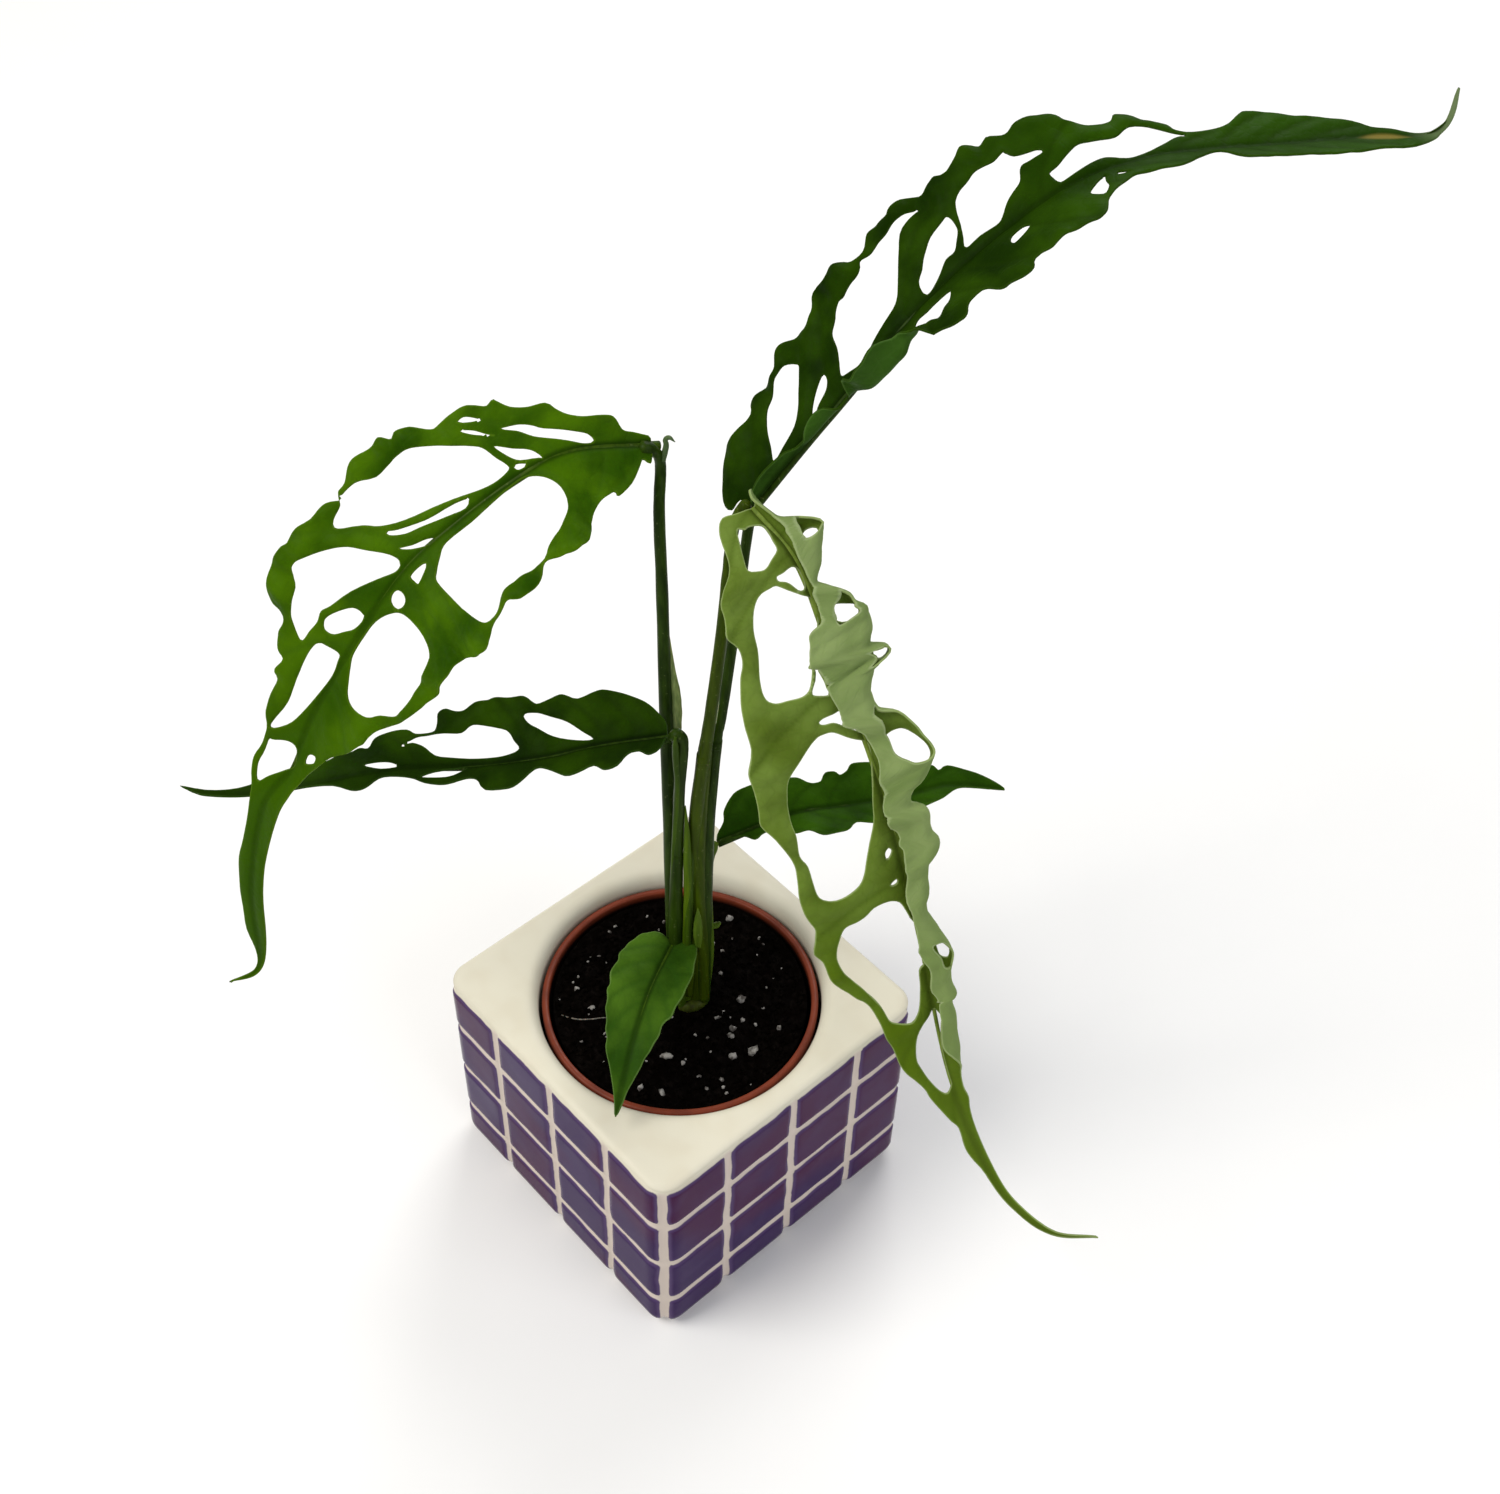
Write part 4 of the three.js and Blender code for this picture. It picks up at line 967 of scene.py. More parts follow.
def glazed_earthenware(colours):
    """Earthenware cast in one piece and glazed by hand: cream all over, purple on the tiles.

    The glaze is glassy, thins to a paler violet on the tiles' rims and pools in their middles.
    """
    made, tree = start_material("glazed_earthenware")
    wobble = scaled(tree, maths(tree, "SUBTRACT", speckle(tree, 4.0), 0.5), 0.3)
    inside = maths(tree, "ADD", attribute(tree, "tile_edge"), wobble)
    tile = ramp(tree, inside, -0.12, 0.16)
    pooled = ramp(tree, inside, 0.1, 1.3)
    drift = ramp(tree, speckle(tree, 30.0, 1.0, 0.4), 0.38, 0.62)
    body = mix_colours(tree, drift, (*colours.purple, 1), "#341E4C")
    cloud = ramp(tree, speckle(tree, 12.0, 2.0, 0.6), 0.4, 0.7)
    body = mix_colours(tree, scaled(tree, cloud, 0.25), body, "#48365E")
    violet = mix_colours(tree, pooled, linear("#544268"), body)
    warm = ramp(tree, speckle(tree, 9.0, 2.0), 0.4, 0.75)
    cream = mix_colours(tree, scaled(tree, warm, 0.35), (*colours.cream, 1), "#D4CAB2")
    grouted = mix_colours(tree, attribute(tree, "grout"), cream, "#CFC2B6")
    set_shader(
        tree,
        Base_Color=mix_colours(tree, tile, grouted, violet),
        Roughness=ramp(tree, tile, 0, 1, 0.22, 0.1),
        IOR=1.5,
        Specular_IOR_Level=0.035,
    )
    bump(tree, speckle(tree, 7.0, 1.0), 0.12, 0.5)
    return made


def moulded_polypropylene(colours):
    """Thin polypropylene, injection moulded: a dull terracotta with a soft, worn gloss, darkened
    to near black down the inside, partly painted shade and partly peat stain.
    """
    made, tree = start_material("moulded_polypropylene")
    stain = ramp(tree, speckle(tree, 5.0, 4.0), 0.4, 0.72)
    colour = mix_colours(tree, scaled(tree, stain, 0.45), (*colours.terracotta, 1), "#52241A")
    set_shader(
        tree,
        # Near black down the inner wall: painted shade inside the pot, with some peat stain.
        Base_Color=mix_colours(tree, attribute(tree, "inner_shade_and_stain"), colour, "#160A06"),
        Roughness=ramp(tree, speckle(tree, 2.5), 0.3, 0.7, 0.34, 0.52),
        Specular_IOR_Level=0.2,
    )
    bump(tree, speckle(tree, 0.9), 0.05, 0.4)
    return made


def damp_peat(colours):
    """Damp peat and fine bark: nearly black, rough, with small wet glints."""
    made, tree = start_material("damp_peat")
    fibre = ramp(tree, speckle(tree, 1.6, 6.0, 0.8), 0.45, 0.75)
    set_shader(
        tree,
        Base_Color=mix_colours(tree, fibre, (*colours.peat, 1), "#0F0B09"),
        Roughness=ramp(tree, speckle(tree, 3.0), 0.45, 0.6, 0.95, 0.55),
        Specular_IOR_Level=0.01,
    )
    bump(tree, speckle(tree, 0.7, 6.0), 0.5, 0.9)
    return made


def expanded_perlite():
    """Perlite, popped volcanic glass: grey-white, chalky and pitted, stained by the peat."""
    made, tree = start_material("expanded_perlite")
    stain = ramp(tree, speckle(tree, 1.4, 4.0), 0.42, 0.66)
    colour = mix_colours(tree, stain, linear("#98948E"), "#453E39")
    set_shader(tree, Base_Color=colour, Roughness=0.9)
    bump(tree, speckle(tree, 0.5, 3.0), 0.2, 0.8)
    return made


def stalk_skin(name, light, dark):
    """Living stalk skin: a fine waxy green, streaked lengthwise, with pale lenticel specks."""
    made, tree = start_material(name)
    streak = streaks(tree, 1.4, 0.05, 2.0)
    colour = mix_colours(tree, ramp(tree, streak, 0.3, 0.7), linear(dark), light)
    speck = ramp(tree, speckle(tree, 0.8, 1.0), 0.68, 0.74)
    set_shader(
        tree,
        Base_Color=mix_colours(tree, scaled(tree, speck, 0.1), colour, "#A9B377"),
        Roughness=0.38,
        Subsurface_Weight=0.05,
        Subsurface_Scale=0.001,
        Specular_IOR_Level=0.06,
    )
    bump(tree, streak, 0.1, 0.3)
    return made


def papery_sheath(name, light, dark):
    """Dried sheath: thin, papery and ribbed lengthwise, straw-coloured with darker ribs."""
    made, tree = start_material(name)
    rib = streaks(tree, 0.6, 0.08, 4.0)
    set_shader(
        tree,
        Base_Color=mix_colours(tree, ramp(tree, rib, 0.35, 0.7), linear(dark), light),
        Roughness=0.6,
        Subsurface_Weight=0.15,
        Subsurface_Scale=0.001,
    )
    bump(tree, rib, 0.15, 0.6)
    return made


# Light and dark colours of each stalk and sheath finish
STALK_FINISHES = {
    "stalk_green": ("#3A520C", "#2A3F06"),
    "stalk_olive": ("#394A04", "#2B3A04"),
    "stalk_dark": ("#2B400A", "#1C2E04"),
    "stalk_pale": ("#50661C", "#3E5412"),
    "stalk_yellow": ("#50680C", "#3C5408"),
    "stalk_node": ("#3E4814", "#2A2E0E"),
    "midrib_olive": ("#7A8E3A", "#63782A"),
    "stalk_stub": ("#5E7248", "#3E5230"),
}
SHEATH_FINISHES = {
    "sheath_dry": ("#8A9C54", "#66783A"),
    "sheath_edge": ("#B4BE8C", "#8C9A60"),
    "root_skin": ("#7A776C", "#504D44"),
}
# Deep, bright, vein, margin and tip colours, roughness, and how much light passes through
LEAF_SKINS = {
    # The first upper skin is a darker copy of the dark upper skin: painted shade for the upper right
    # leaf, which faces up into the light.
    "leaf_waxy_upper": ("#102400", "#284402", "#1A3000", "#30490F", "#2C5004", 0.5, 0.03),
    "leaf_dark_upper": ("#122502", "#2B4702", "#1A2E02", "#34501A", "#2B4702", 0.45, 0.03),
    "leaf_shaded_upper": ("#1E3A04", "#365C0A", "#1C3604", "#44641F", "#365C0A", 0.45, 0.03),
    "leaf_dark_under": ("#243E0E", "#325216", "#46662A", "#4E6C30", "#34521A", 0.5, 0.06),
    "leaf_mid_upper": ("#244402", "#466A04", "#34540A", "#567414", "#385800", 0.45, 0.06),
    "leaf_mid_under": ("#3F6118", "#517826", "#6A8C3A", "#8CA548", "#517826", 0.5, 0.08),
    # The olive upper skin's vein colour is darker than its deep colour: painted shade along the folds at
    # its veins.
    "leaf_olive_upper": ("#54681F", "#6C8236", "#42560F", "#A8B87C", "#4E6606", 0.45, 0.08),
    "leaf_olive_under": ("#6A7E46", "#86985E", "#74884E", "#AAB888", "#788C50", 0.55, 0.08),
    "leaf_fresh_upper": ("#24420A", "#486A1A", "#2A4A10", "#6A8646", "#4A7020", 0.46, 0.05),
    "leaf_fresh_under": ("#3C5A2A", "#4D6E3A", "#668548", "#8CA060", "#4D6E3A", 0.5, 0.08),
}


class Withering(NamedTuple):
    """A tan patch on a leaf, and from where and to what colour the leaf's end fades"""

    place: tuple
    size: tuple
    tan: str
    faded_from: float
    faded: str


WITHERED = {
    "leaf_waxy_upper": Withering((155.5, -0.7, 0), (7.5, 1.7, 1), "#94803A", 160, "#76885E"),
    "leaf_dark_under": Withering((160, 0, 0), (3, 2, 1), "#5E6A2A", 162, "#8A9A78"),
}


def wither(tree, colour, flat_place, along, withering):
    """Output of a leaf's colour with its tan patch and its faded end."""
    moved = add_node(
        tree,
        "ShaderNodeMapping",
        {"Vector": flat_place, "Location": withering.place, "Scale": withering.size},
        vector_type="TEXTURE",
    )
    reach = add_node(
        tree, "ShaderNodeVectorMath", {0: moved.outputs["Vector"]}, operation="LENGTH"
    ).outputs["Value"]
    colour = mix_colours(tree, ramp(tree, reach, 0.4, 1.0, 0.6, 0), colour, withering.tan)
    end = ramp(tree, along, withering.faded_from, withering.faded_from + 14, 0, 0.8)
    return mix_colours(tree, end, colour, withering.faded)


def leaf_skin(name, deep, bright, vein, margin, tip, roughness, glow):
    """Living leaf skin: waxy, with sunken veins, painted shade darkening the valley and groove along
    the midrib, a fine net and a thin pale margin. Light passes through it a little.
    """
    made, tree = start_material(name)
    flat_place = add_node(tree, "ShaderNodeUVMap", uv_map="leaf_mm").outputs["UV"]
    parts = add_node(tree, "ShaderNodeSeparateXYZ", {"Vector": flat_place}).outputs
    along, aside = parts["X"], maths(tree, "ABSOLUTE", parts["Y"])
    cloud = noise_at(tree, flat_place, 1 / 14, 4.0)
    colour = mix_colours(tree, ramp(tree, cloud, 0.32, 0.68), linear(deep), bright)
    cells = add_node(
        tree, "ShaderNodeTexVoronoi", {"Vector": flat_place, "Scale": 1 / 2.6},
        feature="DISTANCE_TO_EDGE",
    ).outputs["Distance"]
    net = ramp(tree, cells, 0.02, 0.14, 1.0, 0.0)
    colour = mix_colours(tree, scaled(tree, net, 0.09), colour, vein)
    colour = mix_colours(tree, ramp(tree, along, 55.0, 130.0, 0.0, 0.75), colour, tip)
    # Darker towards the midrib: painted shade in the valley along it.
    colour = mix_colours(tree, ramp(tree, aside, 0.5, 7.0, 0.45, 0.0), colour, deep)
    # Veins take the vein colour. On the olive upper skin this is painted shade along the folds at the
    # veins.
    colour = mix_colours(tree, scaled(tree, attribute(tree, "vein"), 0.5), colour, vein)
    # Darkest in the midrib's groove: painted shade.
    groove_painted_shade = scaled(
        tree, ramp(tree, aside, 0.3, 1.3, 1, 0), ramp(tree, along, 0, 70, 0.75, 0.35)
    )
    shade = tuple(part * 0.4 for part in linear(deep)[:3])
    colour = mix_colours(tree, groove_painted_shade, colour, (*shade, 1))
    rim = ramp(tree, attribute(tree, "rim"), 0.05, 0.32, 1.0, 0.0)
    colour = mix_colours(tree, scaled(tree, rim, 0.5), colour, margin)
    if name in WITHERED:
        colour = wither(tree, colour, flat_place, along, WITHERED[name])
    grain = noise_at(tree, flat_place, 1 / 3.0, 3.0)
    set_shader(
        tree,
        Base_Color=colour,
        Roughness=ramp(tree, grain, 0.3, 0.7, roughness - 0.06, roughness + 0.08),
        Subsurface_Weight=glow,
        Subsurface_Scale=0.0015,
        Subsurface_Radius=(0.6, 1.0, 0.3),
        Specular_IOR_Level=0.015,
    )
    bump(tree, maths(tree, "SUBTRACT", grain, scaled(tree, net, 0.5)), 0.12, 0.5)
    return made


def leaf_material(name):
    """One leaf skin by name, made once and shared between leaves."""
    return bpy.data.materials.get(name) or leaf_skin(name, *LEAF_SKINS[name])


def stalk_material(name):
    """One stalk or sheath finish by name, made once and shared between stalks."""
    if name in bpy.data.materials:
        return bpy.data.materials[name]
    if name in SHEATH_FINISHES:
        return papery_sheath(name, *SHEATH_FINISHES[name])
    return stalk_skin(name, *STALK_FINISHES[name])


def matt_board():
    """Matt white board, sprayed: the plain surface the model stands on."""
    made, tree = start_material("matt_board")
    tone = mix_colours(tree, speckle(tree, 60.0, 2.0), linear("#F6F5F3"), "#F9F8F6")
    set_shader(tree, Base_Color=tone, Roughness=0.9)
    return made


# The planter

PLANTER_FACETS = 400
WELL_COVE = 4.0  # rounding where the well's wall meets its floor
WELL_LIP = 3.2  # rounding where the well meets the glazed top
SIDE_STEP = 0.75  # between rings of the side's mesh
GLAZE_SAG = 0.18  # how uneven the glazed top is

TILE_COLUMNS = [(-37.6, -21), (-19, -1), (1, 19), (21, 37.6)]  # along a face from its middle
TILE_ROWS = [(3.6, 16.7), (18.7, 33.6), (35.6, 50.5), (52.5, 64.6)]  # down from the top edge
TILE_CORNER = 0.9
TILE_SOFTNESS = 1.5  # how far in from a tile's edge its face is still rising
TILE_STRAY = 0.35  # how far a tile's edge strays from a straight line
STRAY_PACE = 0.16  # how many times to a millimetre it does so
STRAY_SEEDS = [Vector((9.3, 1.5, 7.9)), Vector((31.6, 17.2, 52.7))]  # along the face and down it
TILE_SWELL = 0.12  # how uneven a tile's face is
TOP_BAND = 1.1  # how far over the first row the smooth band under the top edge ends
TOP_BAND_DROP = 0.25  # how far that band lies back, as a share of the relief
RELIEF_FADE = (0.5, 2.2)  # how far down the relief starts, and over what distance it grows
GROUT_FADE = (3.2, 1.2)  # the same for the grout's colour
NO_TILE = -3.0  # distance inside a tile that the glazed top is given


class Station(NamedTuple):
    """A ring on the planter's side: how far in it lies and how high, the way its surface faces,
    and how far down along the surface it is from the top edge
    """

    inset: float
    z: float
    out: float
    up: float
    down: float


def rounded_square(half, radius, count):
    """Points around a square with rounded corners, evenly spaced, with their outward normals
    and each point's distance along its face from the face's middle, all in millimetres.
    """
    straight = half - radius
    arc = radius * math.pi / 2
    face = 2 * straight + arc
    rows = []
    for i in range(count):
        travel = face * 4 * i / count
        turn, s = divmod(travel + face / 2, face)
        s -= face / 2
        if abs(s) <= straight:
            place, normal = Vector((half, s, 0)), Vector((1, 0, 0))
        else:
            bend = (abs(s) - straight) / radius
            normal = Vector((math.cos(bend), math.copysign(math.sin(bend), s), 0))
            place = Vector((straight, math.copysign(straight, s), 0)) + normal * radius
        spin = Matrix.Rotation(turn * math.pi / 2, 3, "Z")
        rows.append((spin @ place, spin @ normal, s))
    return rows


def well_profile(well, well_floor, height):
    """The well from its floor up to the glazed top, as (radius, height) pairs."""
    cove, lip = WELL_COVE, WELL_LIP
    profile = [(radius, well_floor) for radius in (14, 24, well - cove)]
    profile += [
        (well - cove + cove * math.sin(turn), well_floor + cove * (1 - math.cos(turn)))
        for turn in quarter_turn(6)
    ]
    profile += [(well, z) for z in np.linspace(well_floor + cove, height - lip, 12)[1:]]
    profile += [
        (well + lip * (1 - math.cos(turn)), height - lip + lip * math.sin(turn))
        for turn in quarter_turn(5)
    ]
    return profile


def side_stations(height, top, foot):
    """Rings down the planter's side, from its rounded top edge to its rounded foot."""
    side_top = height - top
    stations = []
    for turn in quarter_turn(5):
        away, over = math.sin(turn), math.cos(turn)
        stations.append(
            Station(top * (1 - away), side_top + top * over, away, over, top * turn)
        )
    path = top * math.pi / 2
    steps = int((side_top - foot) / SIDE_STEP)
    for z in np.linspace(side_top, foot, steps + 1)[1:]:
        stations.append(Station(0, z, 1, 0, path + side_top - z))
    path += side_top - foot
    for turn in quarter_turn(8):
        away, under = math.cos(turn), math.sin(turn)
        stations.append(
            Station(foot * (1 - away), foot * (1 - under), away, -under, path + foot * turn)
        )
    return stations


def tile_edge(base, s, down):
    """Distance in millimetres inside the nearest tile's edge, negative in the grout. The edges
    stray a little. They are read with plain noise, as Blender's noise_vector differs every run.
    """
    stray = [TILE_STRAY * noise.noise(base * STRAY_PACE + seed) for seed in STRAY_SEEDS]
    s += stray[0]
    down += stray[1]
    best = -9.0
    for left, right in TILE_COLUMNS:
        for top, bottom in TILE_ROWS:
            x = abs(s - (left + right) / 2) - (right - left) / 2 + TILE_CORNER
            y = abs(down - (top + bottom) / 2) - (bottom - top) / 2 + TILE_CORNER
            outside = math.hypot(max(x, 0), max(y, 0)) + min(max(x, y), 0) - TILE_CORNER
            best = max(best, -outside)
    return best


def side_drop(base, down, inside, relief):
    """How far the side lies behind the tiles' faces, at a place inside a tile or in the grout."""
    rise = zero_to_one((inside + 0.25) / TILE_SOFTNESS)
    crown = math.sqrt(max(1 - (1 - rise) ** 2, 0))
    swell = TILE_SWELL * noise.noise(base * 0.09)
    in_band = down < TILE_ROWS[0][0] - TOP_BAND
    drop = relief * (TOP_BAND_DROP if in_band else 1.0) * (1 - crown) - swell * crown * 0.5
    return drop * fade_in(down, RELIEF_FADE)


def planter_mesh(sizes):
    """The planter's casting: well, glazed top, tiled sides and rounded foot."""
    side, height, corner, foot, top = in_mm(
        sizes, "side", "height", "corner_radius", "foot_radius", "top_radius"
    )
    well, well_floor, relief = in_mm(sizes, "well_radius", "well_floor", "relief")
    half = side / 2
    circle = unit_circle(PLANTER_FACETS)
    bm = bmesh.new()
    edge_layer = bm.verts.layers.float.new("tile_edge")
    grout_layer = bm.verts.layers.float.new("grout")
    floor_ring = ring = first_ring(bm, circle_at(circle, 4, well_floor))
    for radius, z in well_profile(well, well_floor, height):
        ring = grow_ring(bm, ring, circle_at(circle, radius, z))
    flat = rounded_square(half - top, corner - top, PLANTER_FACETS)
    for share in np.linspace(0, 1, 10)[1:]:
        points = []
        for lip_point, (place, _, _) in zip(circle_at(circle, well + WELL_LIP, 0), flat):
            point = lip_point.lerp(place, share)
            sag = GLAZE_SAG * noise.noise(point * 0.08) * math.sin(math.pi * share)
            points.append(point + Vector((0, 0, height + sag)))
        ring = grow_ring(bm, ring, points)
    outer = rounded_square(half, corner, PLANTER_FACETS)
    for inset, z, out, up, down in side_stations(height, top, foot):
        ring = extrude_ring(bm, ring)
        for vert, (place, normal, s) in zip(ring, outer):
            base = place - normal * inset + Vector((0, 0, z))
            inside = tile_edge(base, s, down)
            drop = side_drop(base, down, inside, relief)
            vert.co = base - (normal * out + Vector((0, 0, up))) * drop
            vert.co.z = max(vert.co.z, 0.0)
            vert[edge_layer] = inside
            vert[grout_layer] = fade_in(down, GROUT_FADE)
    under = rounded_square(half - foot, max(corner - foot, 0.5), PLANTER_FACETS)
    for share in (0.9, 0.5):
        ring = grow_ring(bm, ring, [place * share for place, _, _ in under])
    close_ring(bm, ring, Vector((0, 0, 0)))
    close_ring(bm, floor_ring, Vector((0, 0, well_floor)))
    for vert in bm.verts:
        if vert[edge_layer] == 0 and vert.co.z > height / 2:
            vert[edge_layer] = NO_TILE
    bmesh.ops.remove_doubles(bm, verts=bm.verts, dist=0.001)
    bmesh.ops.recalc_face_normals(bm, faces=bm.faces)
    return bm


class MONSTERA_OT_planter(bpy.types.Operator):
    """Builds the glazed cube planter with its tiled sides"""

    bl_idname = "monstera.planter"
    bl_label = "Planter"

    def execute(self, context):
        bm = planter_mesh(context.scene.planter_sizes)
        surface = glazed_earthenware(context.scene.finish_colours)
        finish_piece(bm, "planter_casting", [surface], ["ceramic_planter"])
        return {"FINISHED"}


# The nursery pot

POT_LIP_HEIGHT = 4.0
POT_LIP_WIDTH = 0.6  # how far the lip stands out from the wall
POT_LIP_ROLL = 0.5  # how high the lip's rounded top is
INNER_SHADE_AND_STAIN_FADE = (0.7, 1.4)  # how far under the rim the painted shade and stain start, and over what distance they grow


def pot_profile(rim, foot, top, wall, base):
    """The pot from the middle of its base, out, up over its lip and back down inside."""
    shoulder, inner = rim - POT_LIP_WIDTH, rim - POT_LIP_WIDTH - wall
    lip_foot = top - POT_LIP_HEIGHT
    half = (POT_LIP_WIDTH + wall) / 2
    profile = [
        (0, base),
        (foot - 1.2, base),
        (foot - 0.3, base + 0.3),
        (foot, base + 1.2),
        (shoulder - 0.2, lip_foot - 0.6),
        (shoulder, lip_foot - 0.15),
        (rim - 0.3, lip_foot),
        (rim, lip_foot + 0.35),
    ]
    for k in range(7):
        turn = math.pi * k / 6
        profile.append(
            (rim - half + half * math.cos(turn), top - POT_LIP_ROLL + POT_LIP_ROLL * math.sin(turn))
        )
    profile += [
        (inner - 0.02, top - 1.2),
        (inner - 0.05, top - 2.2),
        (inner - 0.25, top - 5.5),
        (foot - wall, base + wall + 1),
        (foot - wall - 1, base + wall),
        (0, base + wall),
    ]
    return profile


class MONSTERA_OT_nursery_pot(bpy.types.Operator):
    """Builds the thin plastic nursery pot with its rolled lip"""

    bl_idname = "monstera.nursery_pot"
    bl_label = "Nursery pot"

    def execute(self, context):
        rim, foot, top, wall = in_mm(
            context.scene.potting_sizes, "rim_radius", "foot_radius", "top", "wall"
        )
        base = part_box("nursery_pot")[0].z / MM
        bm = bmesh.new()
        inner_shade_and_stain = bm.verts.layers.float.new("inner_shade_and_stain")
        verts = [bm.verts.new((x, 0, z)) for x, z in pot_profile(rim, foot, top, wall, base)]
        edges = [bm.edges.new(pair) for pair in zip(verts, verts[1:])]
        bmesh.ops.spin(
            bm, geom=verts + edges, cent=(0, 0, 0), axis=(0, 0, 1), angle=FULL_TURN, steps=128,
            use_merge=True,
        )
        bmesh.ops.remove_doubles(bm, verts=bm.verts, dist=0.001)
        bmesh.ops.recalc_face_normals(bm, faces=bm.faces)
        for vert in bm.verts:
            x, y, z = vert.co
            # The inner wall darkens from just under the rim down: painted shade inside the pot, with
            # some peat stain.
            if math.hypot(x, y) < rim - POT_LIP_WIDTH - wall + 0.1:
                vert[inner_shade_and_stain] = fade_in(top - z, INNER_SHADE_AND_STAIN_FADE)
            if z > top - POT_LIP_HEIGHT - 1:
                turn = math.atan2(y, x)
                sway = 0.12 * math.sin(2 * turn + 0.7) + 0.06 * math.sin(5 * turn)
                vert.co.z += sway
        surface = moulded_polypropylene(context.scene.finish_colours)
        finish_piece(bm, "nursery_pot_moulding", [surface], ["nursery_pot"])
        return {"FINISHED"}


# The soil

SOIL_FACETS = 168
SOIL_BANK = 1.3  # how high the soil stands up at the pot's wall
# The soil's unevenness: height, how many lumps to a millimetre, and seed
SOIL_LUMPS = [(0.9, 0.16, 3), (0.5, 0.45, 7), (0.28, 1.3, 1)]


class Grains(NamedTuple):
    """Loose grains: seed, gap to the wall, smallest and largest radius, mesh and roughness"""

    seed: int
    margin: float
    smallest: float
    largest: float
    subdivisions: int
    rough: float


CRUMBS = Grains(seed=11, margin=0.8, smallest=0.25, largest=0.95, subdivisions=1, rough=0.5)
PERLITE = Grains(seed=23, margin=1.2, smallest=0.25, largest=0.7, subdivisions=2, rough=0.55)


def soil_height(x, y, top, crown, reach):
    """Height of the soil in millimetres: a low crown with lumps, banked up at the pot's wall."""
    distance = math.hypot(x, y) / reach
    lumps = sum(
        height * noise.noise(Vector((x, y, seed)) * pace) for height, pace, seed in SOIL_LUMPS
    )
    calm = 1 - 0.6 * distance**6
    return top + crown * (1 - distance**2) + SOIL_BANK * distance**10 + lumps * calm


def scatter_grains(kind, count, reach, height, placed=()):
    """Small irregular grains lying on the soil, at random and at the given places."""
    draw = random.Random(kind.seed)
    bm = bmesh.new()
    lying = list(placed)
    for _ in range(count):
        distance = (reach - kind.margin) * math.sqrt(draw.random())
        turn = draw.uniform(0, FULL_TURN)
        size = draw.uniform(kind.smallest, kind.largest) * draw.uniform(0.6, 1.0)
        lying.append((distance * math.cos(turn), distance * math.sin(turn), size))
    for x, y, size in lying:
        grain = bmesh.ops.create_icosphere(bm, subdivisions=kind.subdivisions, radius=size)
        turn = draw.uniform(0, FULL_TURN)
        axis = Vector((draw.uniform(-1, 1), draw.uniform(-1, 1), draw.uniform(0.1, 1)))
        spin = Matrix.Rotation(turn, 3, axis.normalized())
        squash = Vector((draw.uniform(0.7, 1.4), draw.uniform(0.6, 1.1), draw.uniform(0.5, 0.9)))
        place = Vector((x, y, height(x, y) + size * 0.25))
        for vert in grain["verts"]:
            vert.co *= 1 + kind.rough * noise.noise(vert.co * (2.2 / size) + place)
            vert.co = spin @ (vert.co * squash) + place
    bmesh.ops.recalc_face_normals(bm, faces=bm.faces)
    return bm


class MONSTERA_OT_potting_mix(bpy.types.Operator):
    """Builds the soil with its crumbs, perlite grains and one fine root"""

    bl_idname = "monstera.potting_mix"
    bl_label = "Potting mix"

    def execute(self, context):
        sizes = context.scene.potting_sizes
        low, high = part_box("potting_mix")
        reach, floor = high.x / MM, low.z / MM
        pot_foot, wall, top = in_mm(sizes, "foot_radius", "wall", "soil_top")
        crown = high.z / MM - top

        def height(x, y):
            return soil_height(x, y, top, crown, reach)

        bm = bmesh.new()
        circle = unit_circle(SOIL_FACETS)
        ring = first_ring(bm, circle_at(circle, pot_foot - wall - 0.6, floor))
        close_ring(bm, ring, Vector((0, 0, floor)))
        for radius in [reach, *np.linspace(reach - 0.3, 0.8, 48)]:
            across = [(c.x * radius, c.y * radius) for c in circle]
            ring = grow_ring(bm, ring, [Vector((x, y, height(x, y))) for x, y in across])
        close_ring(bm, ring, Vector((0, 0, height(0, 0))))
        bmesh.ops.recalc_face_normals(bm, faces=bm.faces)
        peat = damp_peat(context.scene.finish_colours)
        finish_piece(bm, "potting_mix_bed", [peat], ["potting_mix"])
        crumbs = scatter_grains(CRUMBS, sizes.crumbs, reach, height)
        finish_piece(crumbs, "potting_mix_crumbs", [peat], [])
        grains = scatter_grains(PERLITE, sizes.perlite, reach, height, LARGE_GRAINS)
        finish_piece(grains, "perlite_grains", [expanded_perlite()], [])
        sweep_piece("fine_root", [FINE_ROOT], [], "soil", sides=8)
        return {"FINISHED"}


# Stalks


class MONSTERA_OT_stalks(bpy.types.Operator):
    """Builds the crown, the leaf stalks and the pointed sheath ends"""

    bl_idname = "monstera.stalks"
    bl_label = "Stalks"

    def execute(self, context):
        sweep_piece("crown_of_stalks", CROWN, ["stem_crown"], "stalk", sides=22, wander=0.06)
        for node, strands in STALKS.items():
            sweep_piece(node + "_stalk", strands, [node], "stalk", furrow=0.16, wander=0.05)
        for node, (slot_name, strand) in SHEATHS.items():
            sweep_piece(node + "_slip", [strand], [node], slot_name, flat=0.45, wander=0.12)
        return {"FINISHED"}


# Leaves

